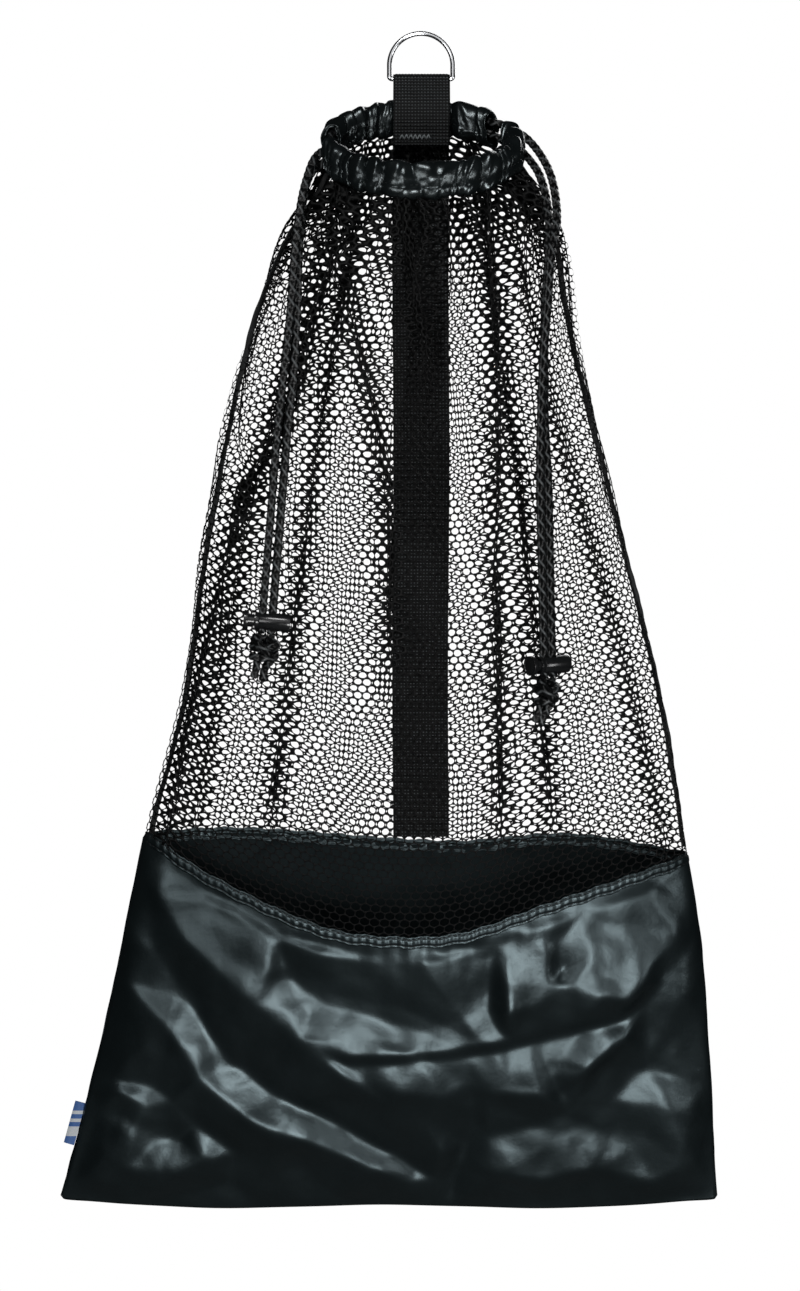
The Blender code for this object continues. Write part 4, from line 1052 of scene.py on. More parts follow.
stretches = {
    "back": (CORD_EXITS["left"] + EXIT_HALF_ANGLE - CASING_GAPE,
             CORD_EXITS["right"] - EXIT_HALF_ANGLE + CASING_GAPE),
    "front": (CORD_EXITS["right"] + EXIT_HALF_ANGLE - CASING_GAPE,
              CORD_EXITS["left"] - EXIT_HALF_ANGLE + CASING_GAPE + 2 * math.pi),
}
for side, (start, end) in stretches.items():
    columns = round(CASING_COLUMNS * (end - start) / (2 * math.pi))
    angle, turn = np.meshgrid(np.linspace(start, end, columns + 1),
                              np.arange(CASING_ROUND) * 2 * math.pi / CASING_ROUND, indexing="ij")
    skins = [casing_skin(angle.ravel(), turn.ravel(), inset) for inset in (0.0, CASING_WALL)]
    points = np.concatenate(skins)
    offset = len(skins[0])
    faces = []
    i, k = np.meshgrid(np.arange(columns), np.arange(CASING_ROUND), indexing="ij")
    a = (i * CASING_ROUND + k).ravel()
    b = (i * CASING_ROUND + (k + 1) % CASING_ROUND).ravel()
    outer = np.stack([a, b, b + CASING_ROUND, a + CASING_ROUND], axis=-1)
    k = np.arange(CASING_ROUND)
    j = (k + 1) % CASING_ROUND
    last = columns * CASING_ROUND
    first_lip = np.stack([k, k + offset, j + offset, j], axis=-1)
    last_lip = np.stack([last + k, last + j, last + j + offset, last + k + offset], axis=-1)
    casing = add_shape(f"{side}_gathered_casing", points,
                       np.concatenate([outer, outer[:, ::-1] + offset, first_lip, last_lip]), casing_finish)
    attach(casing, "bag")
    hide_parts(f"{side}_casing")
    seam_turn = math.asin(-(abs(TOPSTITCH_LEVEL) ** (1 / 0.8)))
    seam_angle = np.linspace(start + 0.02, end - 0.02, 900)
    rows = []
    for face_turn in (seam_turn, math.pi - seam_turn):
        level_turn = np.full_like(seam_angle, face_turn)
        _, outward = casing_line(seam_angle)
        out = outward * (1 if face_turn == seam_turn else -1)
        rows.append((casing_skin(seam_angle, level_turn, 0.0) + out * 0.0002, out))
    threads = add_stitches(f"{side}_casing_topstitch", rows, 0.00032, thread_finish, 0.0024, 0.0010)
    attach(threads, "bag")

# ---------------------------------------------------------------------------------------------
# Hanging strap: one length of ribbed polypropylene webbing. It starts inside the mouth, goes over
# the ring's bar and down the outside of the back to the base, and is sewn down with a box row and a
# zigzag bartack just below the ring.
# ---------------------------------------------------------------------------------------------
WIRE_RADIUS = 0.0016
WEBBING_WIDTH, WEBBING_THICKNESS = 0.0374, 0.0013
RIB_PITCH, RIB_HEIGHT = 0.00218, 0.00034
STRAP_ACROSS = 36
strap_low = Vector(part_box("strap_webbing")[0])
reach = WIRE_RADIUS + 0.0003 + 0.0007
back_casing_y = CASING_CENTRE[1] + CASING_HALF_DEPTH
back_casing_z = CASING_CENTRE[2] + CASING_RISE
stand_off = CASING_THICK / 2 + 0.0003 + 0.0007 + 0.0004
inner_y = back_casing_y - stand_off - 0.0030
casing_top, casing_foot = back_casing_z + CASING_TALL / 2, back_casing_z - CASING_TALL / 2
strap_route = [(inner_y, -0.0730), (inner_y, casing_foot), (inner_y, back_casing_z + 0.2 * CASING_TALL),
               (0.85 * inner_y, casing_top + 0.0010)]
for i in range(9):
    turn = math.pi * (1 - i / 8)
    strap_route.append((reach * math.cos(turn), BAR_Z + reach * math.sin(turn)))
strap_route += [(back_casing_y + 0.8 * stand_off, casing_top + 0.0020),
                (back_casing_y + stand_off, back_casing_z + 0.2 * CASING_TALL),
                (back_casing_y + stand_off, casing_foot)]
strap_lowest = strap_low.z + 0.0004
for i in range(1, 11):
    z = casing_foot - 0.010 + (strap_lowest - casing_foot + 0.010) * i / 10
    part = (casing_foot - z) / (casing_foot - strap_lowest)
    side_z = MOUTH_SIDE_Z + (BASE_SIDE_Z - MOUTH_SIDE_Z) * part
    wall, _ = wall_place(np.array([0.0]), np.array([side_z]), np.array([z]))
    strap_route.append((wall[0, 1] + 0.0006 + 0.0007, z))
strap_line = smooth_route([Vector((0.0, y, z)) for y, z in strap_route], RIB_PITCH / 4)
ahead = np.gradient(strap_line, axis=0)
ahead /= np.linalg.norm(ahead, axis=1, keepdims=True)
strap_out = np.cross(ahead, np.array([1.0, 0.0, 0.0]))
walked = np.concatenate([[0.0], np.linalg.norm(np.diff(strap_line, axis=0), axis=1).cumsum()])
cup = np.linspace(-1, 1, STRAP_ACROSS + 1)
rib = RIB_HEIGHT * np.cos(2 * math.pi * walked / RIB_PITCH)
selvedge = np.clip((1 - np.abs(cup)) * STRAP_ACROSS / 3.0, 0.0, 1.0)
yarn = 0.00013 * np.cos(2 * math.pi * cup * WEBBING_WIDTH / 2 / 0.0021)
waver = 0.0004 * np.sin(walked / 0.045 + 1.0)
layers = []
for face_side in (1.0, -1.0):
    thick = (WEBBING_THICKNESS / 2 * (0.45 + 0.55 * selvedge)[None, :]
             + (rib[:, None] + yarn[None, :]) * selvedge[None, :])
    grid = strap_line[:, None, :] + strap_out[:, None, :] * (face_side * thick)[..., None]
    grid[..., 0] += (cup * WEBBING_WIDTH / 2)[None, :] + waver[:, None]
    layers.append(grid.reshape(-1, 3))
rows = len(strap_line) - 1
top_faces = grid_faces(rows, STRAP_ACROSS)
count = len(layers[0])
i = np.arange(rows) * (STRAP_ACROSS + 1)
left_edge = np.stack([i, i + count, i + count + STRAP_ACROSS + 1, i + STRAP_ACROSS + 1], axis=-1)
i = i + STRAP_ACROSS
right_edge = np.stack([i, i + STRAP_ACROSS + 1, i + count + STRAP_ACROSS + 1, i + count], axis=-1)
i = np.arange(STRAP_ACROSS)
start_edge = np.stack([i, i + 1, i + 1 + count, i + count], axis=-1)
i = i + rows * (STRAP_ACROSS + 1)
end_edge = np.stack([i, i + count, i + 1 + count, i + 1], axis=-1)

WEBBING_COLOUR = (0.0014, 0.0018, 0.0020)
# the second colour is a painted highlight, given to the ribs' crests
RIB_HIGHLIGHT_COLOUR = (0.085, 0.095, 0.100)
webbing_finish, tree, shader = new_finish("webbing_yarn", WEBBING_COLOUR, 0.42)
shader.inputs["Specular IOR Level"].default_value = 0.22
webbing_uv = tree.nodes.new("ShaderNodeUVMap")
webbing_uv.uv_map = "woven"
woven = tree.nodes.new("ShaderNodeSeparateXYZ")
tree.links.new(webbing_uv.outputs["UV"], woven.inputs["Vector"])
waves = []
for side in ("X", "Y"):
    # painted highlight: each rib's crest, one for each pair of warp yarns, is coloured lighter in place of
    # the light it catches
    turned = tree.nodes.new("ShaderNodeMath")
    turned.operation = "MULTIPLY"
    turned.inputs[1].default_value = 2 * math.pi
    wave = tree.nodes.new("ShaderNodeMath")
    wave.operation = "COSINE"
    lifted = tree.nodes.new("ShaderNodeMapRange")
    lifted.inputs["From Min"].default_value = -0.2 if side == "X" else 0.35
    lifted.inputs["From Max"].default_value = 0.9
    tree.links.new(woven.outputs[side], turned.inputs[0])
    tree.links.new(turned.outputs[0], wave.inputs[0])
    tree.links.new(wave.outputs[0], lifted.inputs["Value"])
    waves.append(lifted)
rib_highlight_mask = tree.nodes.new("ShaderNodeMath")
rib_highlight_mask.operation = "MULTIPLY"
tree.links.new(waves[0].outputs["Result"], rib_highlight_mask.inputs[0])
tree.links.new(waves[1].outputs["Result"], rib_highlight_mask.inputs[1])
rib_highlight_tone = tree.nodes.new("ShaderNodeMix")
rib_highlight_tone.data_type = "RGBA"
rib_highlight_tone.inputs["A"].default_value = (*WEBBING_COLOUR, 1.0)
rib_highlight_tone.inputs["B"].default_value = (*RIB_HIGHLIGHT_COLOUR, 1.0)
tree.links.new(rib_highlight_mask.outputs[0], rib_highlight_tone.inputs["Factor"])
uneven = dye(tree, shader, WEBBING_COLOUR, 120.0, 0.6)
tree.links.new(rib_highlight_tone.outputs["Result"], uneven.inputs["Colour"])
place = tree.nodes.new("ShaderNodeTexCoord")
yarns_map = tree.nodes.new("ShaderNodeMapping")
yarns_map.inputs["Scale"].default_value = (3400.0, 900.0, 900.0)
yarns = tree.nodes.new("ShaderNodeTexNoise")
yarns.inputs["Scale"].default_value = 1.0
tree.links.new(place.outputs["Object"], yarns_map.inputs["Vector"])
tree.links.new(yarns_map.outputs["Vector"], yarns.inputs["Vector"])
add_bump(tree, shader, yarns.outputs["Fac"], 0.7, 0.0004)
strap = add_shape("hanging_strap", np.concatenate(layers), np.concatenate([
    top_faces, top_faces[:, ::-1] + count, left_edge, right_edge, start_edge, end_edge]), webbing_finish)
corner = np.zeros(len(strap.data.loops), dtype=np.int32)
strap.data.loops.foreach_get("vertex_index", corner)
corner_row, corner_column = np.divmod(corner % count, STRAP_ACROSS + 1)
woven_layer = strap.data.uv_layers.new(name="woven")
woven_layer.data.foreach_set("uv", np.stack([
    cup[corner_column] * WEBBING_WIDTH / 2 / 0.0021, walked[corner_row] / RIB_PITCH], axis=1).ravel())
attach(strap, "bag")
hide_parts("strap_webbing")

STRAP_ROWS = ((-0.0604, -0.0140, 0.0125), (-0.0702, -0.0175, 0.0175))
BARTACK_Z, BARTACK_X = -0.0678, (-0.0140, 0.0062)
# the bartack's thread is coloured light grey, a painted highlight for the bright glints along its stitches
bartack_finish = thread_finish.copy()
bartack_finish.name = "bartack_thread_painted_highlight"
bartack_highlight_tone = next(n for n in bartack_finish.node_tree.nodes if n.type == "GROUP")
bartack_highlight_tone.inputs["Colour"].default_value = (0.30, 0.33, 0.34, 1.0)
front_leg = strap_line[: int(np.argmax(strap_line[:, 2]))]


def strap_front(x, z):
    """A point just proud of the strap's front face inside the mouth."""
    return np.array([x, np.interp(z, front_leg[:, 2], front_leg[:, 1]) - WEBBING_THICKNESS / 2 - 0.0006, z])


facing = np.array([0.0, -1.0, 0.0])
runs = []
for z, x0, x1 in STRAP_ROWS:
    places = [strap_front(x, z + 0.0002 * math.sin(x * 900)) for x in np.linspace(x0, x1, 12)]
    runs.append((places, [facing] * 12))
row_threads = add_stitches("strap_stitch_rows", runs, 0.00032, thread_finish, 0.0026, 0.0009)
zigzag = []
steps = 14
for n in range(steps):
    x0 = BARTACK_X[0] + (BARTACK_X[1] - BARTACK_X[0]) * n / steps
    x1 = BARTACK_X[0] + (BARTACK_X[1] - BARTACK_X[0]) * (n + 1) / steps
    z0, z1 = (BARTACK_Z + 0.0017, BARTACK_Z - 0.0017) if n % 2 else (BARTACK_Z - 0.0017, BARTACK_Z + 0.0017)
    zigzag.append(([strap_front(x0, z0), strap_front(x1, z1)], [facing] * 2))
bartack = add_stitches("strap_bartack", zigzag, 0.00045, bartack_finish, 0.0032, 0.0)
for piece in (row_threads, bartack):
    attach(piece, "bag")

# ---------------------------------------------------------------------------------------------
# D-ring: round steel wire, bent to a D, welded at the bar and bright chrome plated. The bag hangs
# from it by the strap round its straight bar.
# ---------------------------------------------------------------------------------------------
RING_ARC_RADIUS, RING_CORNER = 0.0209, 0.0018
RING_ARC_Z = WIRE_RADIUS - RING_ARC_RADIUS
ring_route = [(RING_ARC_RADIUS * math.cos(math.pi * i / 72),
               RING_ARC_Z + RING_ARC_RADIUS * math.sin(math.pi * i / 72))
              for i in range(73)]
for centre_x, start in ((RING_CORNER - RING_ARC_RADIUS, math.pi),
                        (RING_ARC_RADIUS - RING_CORNER, 1.5 * math.pi)):
    for i in range(9):
        turn = start + 0.5 * math.pi * i / 8
        ring_route.append((centre_x + RING_CORNER * math.cos(turn),
                           BAR_Z + RING_CORNER + RING_CORNER * math.sin(turn)))
ring_curve = bpy.data.curves.new("d_ring_wire", "CURVE")
ring_curve.dimensions = "3D"
ring_curve.bevel_depth = WIRE_RADIUS
ring_curve.bevel_resolution = 8
wire = ring_curve.splines.new("POLY")
wire.points.add(len(ring_route) - 1)
for spot, (x, z) in zip(wire.points, ring_route):
    spot.co = (x, 0.0, z, 1.0)
wire.use_cyclic_u = True
ring = bpy.data.objects.new("d_ring_wire", ring_curve)
scene.collection.objects.link(ring)
ring.select_set(True)
bpy.context.view_layer.objects.active = ring
bpy.ops.object.convert(target="MESH")
bpy.ops.object.shade_smooth()
ring.select_set(False)

CHROME_COLOUR = (0.83, 0.84, 0.86)
chrome_finish, tree, shader = new_finish("ring_chrome", CHROME_COLOUR, 0.09, 1.0)
dye(tree, shader, CHROME_COLOUR, 210.0, 0.06)
place = tree.nodes.new("ShaderNodeTexCoord")
scuffs = tree.nodes.new("ShaderNodeTexNoise")
scuffs.inputs["Scale"].default_value = 380.0
scuffs.inputs["Detail"].default_value = 5.0
wear = tree.nodes.new("ShaderNodeMapRange")
wear.inputs["To Min"].default_value = 0.14
wear.inputs["To Max"].default_value = 0.20
tree.links.new(place.outputs["Object"], scuffs.inputs["Vector"])
tree.links.new(scuffs.outputs["Fac"], wear.inputs["Value"])
tree.links.new(wear.outputs["Result"], shader.inputs["Roughness"])
add_bump(tree, shader, scuffs.outputs["Fac"], 0.02, 0.0001)
ring.data.materials.append(chrome_finish)
shiny_pieces.objects.link(ring)
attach(ring, "ring")
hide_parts("d_ring")

# ---------------------------------------------------------------------------------------------
# Drawcords: soft braided polyester. Each runs once round inside the casing, and its two ends come out
# together at a side and hang as a pair, through a cord lock, to the knot that keeps it on.
# ---------------------------------------------------------------------------------------------
CORD_RADIUS = 0.0029
STRAND_SPACING = 0.0064
BRAID_PITCH = 0.0088
SLACK_ROUTES = {
    "left_cord_front_strand": (
        (-0.0585, -0.0302, -0.0779), (-0.0596, -0.0335, -0.0799), (-0.0643, -0.0390, -0.0815),
        (-0.0697, -0.0466, -0.0880),
        (-0.0735, -0.0520, -0.0985), (-0.0768, -0.0575, -0.1120), (-0.0795, -0.0620, -0.1300),
        (-0.0815, -0.0666, -0.1500), (-0.0842, -0.0684, -0.1870), (-0.0882, -0.0663, -0.2250),
    ),
    "left_cord_back_strand": (
        (-0.0585, -0.0489, -0.0895), (-0.0596, -0.0457, -0.0875), (-0.0625, -0.0415, -0.0880),
        (-0.0679, -0.0387, -0.0914),
        (-0.0730, -0.0410, -0.0985), (-0.0765, -0.0474, -0.1130), (-0.0777, -0.0539, -0.1290),
        (-0.0790, -0.0593, -0.1480), (-0.0802, -0.0625, -0.1870), (-0.0823, -0.0633, -0.2250),
    ),
    "right_cord_front_strand": (
        (0.0446, -0.0115, -0.0579), (0.0475, -0.0138, -0.0593), (0.0540, -0.0162, -0.0612),
        (0.0616, -0.0168, -0.0648),
        (0.0700, -0.0190, -0.0710), (0.0780, -0.0260, -0.0820), (0.0840, -0.0357, -0.0960),
        (0.0870, -0.0454, -0.1130), (0.0872, -0.0543, -0.1300), (0.0835, -0.0620, -0.1500),
        (0.0812, -0.0642, -0.1800), (0.0785, -0.0649, -0.2150), (0.0768, -0.0656, -0.2550),
    ),
    "right_cord_back_strand": (
        (0.0577, -0.0280, -0.0681), (0.0564, -0.0248, -0.0661), (0.0580, -0.0205, -0.0668),
        (0.0612, -0.0186, -0.0712),
        (0.0655, -0.0202, -0.0780), (0.0712, -0.0252, -0.0855), (0.0765, -0.0333, -0.0950),
        (0.0805, -0.0416, -0.1100),
        (0.0825, -0.0485, -0.1280), (0.0820, -0.0554, -0.1500), (0.0800, -0.0577, -0.1800),
        (0.0790, -0.0586, -0.2150), (0.0792, -0.0600, -0.2550),
    ),
}
PAIR_TOP = {"left": (-0.0891, -0.0632, -0.2600), "right": (0.0790, -0.0611, -0.3000)}
PAIR_FOOT = {"left": (-0.1006, -0.0493, -0.3950), "right": (0.0818, -0.0538, -0.4230)}
lock_axis, cord_up = {}, {}
for joint in frame["joints"]:
    side, _, rest = joint["name"].partition("_")
    if rest == "button_press":
        lock_axis[side] = Vector(joint["axis"])
    if rest == "lock_slide":
        cord_up[side] = Vector(joint["axis"])


def add_braid(name, path, radius, finish, sides=20):
    """A braided tube along a path: its skin rises and falls where the plaits cross."""
    path = np.asarray(path)
    tangent = np.gradient(path, axis=0)
    tangent /= np.linalg.norm(tangent, axis=1)[:, None]
    walked = np.concatenate([[0.0], np.linalg.norm(np.diff(path, axis=0), axis=1).cumsum()])
    around = np.arange(sides) * 2 * math.pi / sides
    side = np.cross(tangent[0], (0.0, 1.0, 0.02))
    rows = []
    for i, centre in enumerate(path):
        side = side - tangent[i] * side.dot(tangent[i])
        side /= np.linalg.norm(side)
        other = np.cross(tangent[i], side)
        phase = 2 * math.pi * walked[i] / BRAID_PITCH
        plait = np.sin(2 * around + phase) * np.sin(2 * around - phase)
        swell = radius * (0.930 + 0.13 * plait)
        end = min(walked[i], walked[-1] - walked[i])
        swell = swell * (0.82 + 0.18 * min(1.0, end / (0.6 * radius)))
        rows.append(centre + np.outer(swell * np.cos(around), side) + np.outer(swell * np.sin(around), other))
    points = np.concatenate(rows + [path[:1], path[-1:]])
    a = (np.arange(len(path) - 1)[:, None] * sides + np.arange(sides)).ravel()
    b = (np.arange(len(path) - 1)[:, None] * sides + (np.arange(sides) + 1) % sides).ravel()
    faces = [tuple(f) for f in np.stack([a, b, b + sides, a + sides], axis=-1)]
    first, last = len(points) - 2, len(points) - 1
    tail = (len(path) - 1) * sides
    faces += [(first, (k + 1) % sides, k) for k in range(sides)]
    faces += [(last, tail + k, tail + (k + 1) % sides) for k in range(sides)]
    made = add_shape(name, points, faces, finish)
    layer = made.data.uv_layers.new(name="along")
    corner = np.zeros(len(made.data.loops), dtype=np.int32)
    made.data.loops.foreach_get("vertex_index", corner)
    ring = np.minimum(corner // sides, len(path) - 1)
    u = (corner % sides) / sides
    wrapped = np.zeros(len(corner))
    quads = 4 * len(a)
    last_side = np.repeat(np.arange(len(a)) % sides == sides - 1, 4)
    wrapped[:quads] = np.tile([0.0, 1.0, 1.0, 0.0], len(a)) * last_side
    layer.data.foreach_set("uv", np.stack([u + wrapped, walked[ring] / BRAID_PITCH], axis=1).ravel())
    return made


# the second colour is a painted highlight: light flecks on the crests of one lay of the braid
CORD_COLOUR, CREST_HIGHLIGHT_COLOUR = (0.0025, 0.0028, 0.0030), (0.075, 0.082, 0.085)
cord_finish, tree, shader = new_finish("cord_braid", CORD_COLOUR, 0.40)
shader.inputs["Specular IOR Level"].default_value = 0.40
uneven = dye(tree, shader, CORD_COLOUR, 240.0, 0.6)
plait_uv = tree.nodes.new("ShaderNodeUVMap")
plait_uv.uv_map = "along"
apart = tree.nodes.new("ShaderNodeSeparateXYZ")
tree.links.new(plait_uv.outputs["UV"], apart.inputs["Vector"])
lays = []
for lay_sign in (1.0, -1.0):
    # the yarns of one lay run round the cord one way, and those of the other lay cross them
    turned = tree.nodes.new("ShaderNodeMath")
    turned.operation = "MULTIPLY_ADD"
    turned.inputs[1].default_value = 2.0 * lay_sign
    tree.links.new(apart.outputs["X"], turned.inputs[0])
    tree.links.new(apart.outputs["Y"], turned.inputs[2])
    wave = tree.nodes.new("ShaderNodeMath")
    wave.operation = "MULTIPLY"
    wave.inputs[1].default_value = 2 * math.pi
    tree.links.new(turned.outputs[0], wave.inputs[0])
    crest = tree.nodes.new("ShaderNodeMath")
    crest.operation = "SINE"
    tree.links.new(wave.outputs[0], crest.inputs[0])
    lays.append(crest)
yarn_height = tree.nodes.new("ShaderNodeMath")
yarn_height.operation = "MAXIMUM"
tree.links.new(lays[0].outputs[0], yarn_height.inputs[0])
tree.links.new(lays[1].outputs[0], yarn_height.inputs[1])
add_bump(tree, shader, yarn_height.outputs[0], 1.0, 0.0006)
# painted highlight: the crests of one lay are coloured lighter in place of the light they catch
crest_highlight_mask = tree.nodes.new("ShaderNodeMapRange")
crest_highlight_mask.inputs["From Min"].default_value = 0.60
crest_highlight_mask.inputs["From Max"].default_value = 1.0
crest_highlight_tone = tree.nodes.new("ShaderNodeMix")
crest_highlight_tone.data_type = "RGBA"
crest_highlight_tone.inputs["A"].default_value = (*CORD_COLOUR, 1.0)
crest_highlight_tone.inputs["B"].default_value = (*CREST_HIGHLIGHT_COLOUR, 1.0)
tree.links.new(lays[0].outputs[0], crest_highlight_mask.inputs["Value"])
tree.links.new(crest_highlight_mask.outputs["Result"], crest_highlight_tone.inputs["Factor"])
tree.links.new(crest_highlight_tone.outputs["Result"], uneven.inputs["Colour"])

for side in ("left", "right"):
    sweep_start = CORD_EXITS[side] + EXIT_HALF_ANGLE * 1.04
    sweep = 2 * math.pi - 2 * EXIT_HALF_ANGLE * 1.04
    line, _ = casing_line(sweep_start + sweep * np.linspace(0, 1, 230))
    line[:, 2] += -0.0042 if side == "left" else 0.0042
    run = add_braid(f"{side}_cord_in_casing", line, CORD_RADIUS * 0.97, cord_finish, 12)
    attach(run, "bag")
    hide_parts(f"{side}_cord_channel_run")

strand_paths = {}
for name, route in SLACK_ROUTES.items():
    side, _, strand = name.split("_")[:3]
    aside = lock_axis[side] * (-STRAND_SPACING / 2 if strand == "front" else STRAND_SPACING / 2)
    top = Vector(PAIR_TOP[side])
    foot = Vector(PAIR_FOOT[side]) + cord_up[side] * 0.0003
    straight = [top.lerp(foot, part) + aside for part in (0.0, 0.25, 0.5, 0.75, 1.0)]
    strand_paths[name] = smooth_route([Vector(p) for p in route] + straight, 0.0011)

# ---------------------------------------------------------------------------------------------
# Cord locks: moulded glossy black plastic. A round barrel is closed at one end and a domed button
# slides in its bore; both are pierced across for the two cords, and a steel spring pushes them apart.
# ---------------------------------------------------------------------------------------------
BARREL_LENGTH, BARREL_RADIUS, BARREL_BORE, BARREL_FLOOR = 0.0230, 0.0058, 0.00465, 0.0215
LOCK_ABOVE_KNOT, LOCK_CORD_STATION = 0.0083, 0.0080
BUTTON_RADIUS, BUTTON_STEM = 0.00635, 0.00435
BUTTON_FACE, BUTTON_UNDERSIDE, BUTTON_END = -0.0070, -0.0042, 0.0157
LOCK_COLOUR = (0.008, 0.0085, 0.009)
lock_finish, tree, shader = new_finish("lock_plastic_gloss", LOCK_COLOUR, 0.16)
shader.inputs["Specular IOR Level"].default_value = 0.6
dye(tree, shader, LOCK_COLOUR, 150.0, 0.3)
place = tree.nodes.new("ShaderNodeTexCoord")
mould = tree.nodes.new("ShaderNodeTexNoise")
mould.inputs["Scale"].default_value = 420.0
mould.inputs["Detail"].default_value = 3.0
wear = tree.nodes.new("ShaderNodeMapRange")
wear.inputs["To Min"].default_value = 0.12
wear.inputs["To Max"].default_value = 0.26
tree.links.new(place.outputs["Object"], mould.inputs["Vector"])
tree.links.new(mould.outputs["Fac"], wear.inputs["Value"])
tree.links.new(wear.outputs["Result"], shader.inputs["Roughness"])
add_bump(tree, shader, mould.outputs["Fac"], 0.05, 0.0004)


def select_faces(shape, wanted):
    """Selects an edit mesh's faces by a test on each."""
    bpy.ops.mesh.select_all(action="DESELECT")
    mesh = bmesh.from_edit_mesh(shape.data)
    mesh.faces.ensure_lookup_table()
    for face in mesh.faces:
        if wanted(face):
            face.select_set(True)
    mesh.select_flush_mode()
    bmesh.update_edit_mesh(shape.data)


def drill(piece, cutter):
    """Cuts a hole through a piece and removes the cutter."""
    for other in bpy.context.selected_objects:
        other.select_set(False)
    piece.select_set(True)
    bpy.context.view_layer.objects.active = piece
    cut = piece.modifiers.new("hole", "BOOLEAN")
    cut.operation = "DIFFERENCE"
    cut.object = cutter
    bpy.ops.object.modifier_apply(modifier=cut.name)
    bpy.data.objects.remove(cutter, do_unlink=True)


def cross_hole(name, low, high, radius):
    """A cutter for the cords' way across a lock: a bar with round ends, along Y, from low to high along Z."""
    bpy.ops.mesh.primitive_cylinder_add(vertices=32, radius=radius, depth=0.04,
                                        location=(0.0, 0.0, low + radius),
                                        rotation=(math.radians(90.0), 0.0, 0.0))
    cutter = bpy.context.object
    cutter.name = name
    bpy.ops.object.transform_apply(location=True, rotation=True, scale=True)
    for vertex in cutter.data.vertices:
        if vertex.co.z > low + radius:
            vertex.co.z += high - low - 2 * radius
    return cutter


def finish_piece(piece, place, finish, bevel, angle=35.0):
    """Rounds a piece's edges, moves it to its place and gives it its finish."""
    for other in bpy.context.selected_objects:
        other.select_set(False)
    piece.select_set(True)
    bpy.context.view_layer.objects.active = piece
    soft = piece.modifiers.new("edges", "BEVEL")
    soft.width = bevel
    soft.segments = 3
    soft.limit_method = "ANGLE"
    soft.angle_limit = math.radians(angle)
    soft.use_clamp_overlap = True
    bpy.ops.object.modifier_apply(modifier=soft.name)
    piece.data.transform(place)
    piece.data.materials.clear()
    piece.data.materials.append(finish)
    bpy.ops.object.shade_smooth_by_angle(angle=math.radians(angle))
    piece.select_set(False)


def make_barrel(name):
    """A lock's barrel on the Z axis, with its open rim at the bottom and its closed end at the top."""
    bpy.ops.mesh.primitive_cylinder_add(vertices=64, radius=BARREL_RADIUS, depth=BARREL_LENGTH,
                                        location=(0.0, 0.0, BARREL_LENGTH / 2))
    barrel = bpy.context.object
    barrel.name = barrel.data.name = name
    bpy.ops.object.transform_apply(location=True, rotation=True, scale=True)
    bpy.ops.object.mode_set(mode="EDIT")
    # the bore, from the rim
    select_faces(barrel, lambda face: face.normal.z < -0.9)
    bpy.ops.mesh.inset(thickness=BARREL_RADIUS - BARREL_BORE)
    bpy.ops.mesh.extrude_region_move(TRANSFORM_OT_translate={"value": (0.0, 0.0, BARREL_FLOOR)})
    # a shallow dish in the closed end
    select_faces(barrel, lambda face: (face.normal.z > 0.9
                                       and face.calc_center_median().z > BARREL_LENGTH - 0.0001))
    bpy.ops.mesh.inset(thickness=0.0012)
    bpy.ops.mesh.inset(thickness=0.0004, depth=-0.0004)
    # a raised band round the rim and a groove behind it
    bpy.ops.mesh.select_all(action="SELECT")
    for level in (0.0022, 0.0028, 0.0034, BARREL_LENGTH - 0.0030, BARREL_LENGTH - 0.0024):
        bpy.ops.mesh.select_all(action="SELECT")
        bpy.ops.mesh.bisect(plane_co=(0.0, 0.0, level), plane_no=(0.0, 0.0, 1.0))
    bpy.ops.mesh.select_all(action="DESELECT")
    mesh = bmesh.from_edit_mesh(barrel.data)
    for vertex in mesh.verts:
        outside = math.hypot(vertex.co.x, vertex.co.y) > BARREL_RADIUS - 0.0002
        grooved = abs(vertex.co.z - 0.0028) < 0.0001
        vertex.select_set(outside and grooved)
    mesh.select_flush_mode()
    bmesh.update_edit_mesh(barrel.data)
    bpy.ops.transform.resize(value=(0.95, 0.95, 1.0), center_override=(0.0, 0.0, 0.0028))
    bpy.ops.object.mode_set(mode="OBJECT")
    drill(barrel, cross_hole("barrel_hole", 0.0015, 0.0145, 0.00315))
    return barrel


def make_button(name):
    """A lock's button on the Z axis: a domed cap below the barrel's rim, and a stem into its bore."""
    bpy.ops.mesh.primitive_cylinder_add(vertices=64, radius=BUTTON_RADIUS,
                                        depth=BUTTON_UNDERSIDE - BUTTON_FACE,
                                        location=(0.0, 0.0, (BUTTON_UNDERSIDE + BUTTON_FACE) / 2))
    button = bpy.context.object
    button.name = button.data.name = name
    bpy.ops.object.transform_apply(location=True, rotation=True, scale=True)
    bpy.ops.object.mode_set(mode="EDIT")
    select_faces(button, lambda face: face.normal.z > 0.9)
    bpy.ops.mesh.inset(thickness=BUTTON_RADIUS - BUTTON_STEM)
    stem_reach = (0.0, 0.0, BUTTON_END - BUTTON_UNDERSIDE)
    bpy.ops.mesh.extrude_region_move(TRANSFORM_OT_translate={"value": stem_reach})
    # the cap's face: a rim ring, a step down, then a low dome
    select_faces(button, lambda face: (face.normal.z < -0.9
                                       and face.calc_center_median().z < BUTTON_FACE + 0.0001))
    bpy.ops.mesh.inset(thickness=0.0009)
    bpy.ops.mesh.inset(thickness=0.0003, depth=-0.00045)
    for thickness, rise in ((0.0010, 0.00030), (0.0011, 0.00022), (0.0012, 0.00014), (0.0010, 0.00006)):
        bpy.ops.mesh.inset(thickness=thickness)
        bpy.ops.transform.translate(value=(0.0, 0.0, -rise))
    bpy.ops.object.mode_set(mode="OBJECT")
    drill(button, cross_hole("button_hole", -0.0022, 0.0143, 0.00315))
    return button


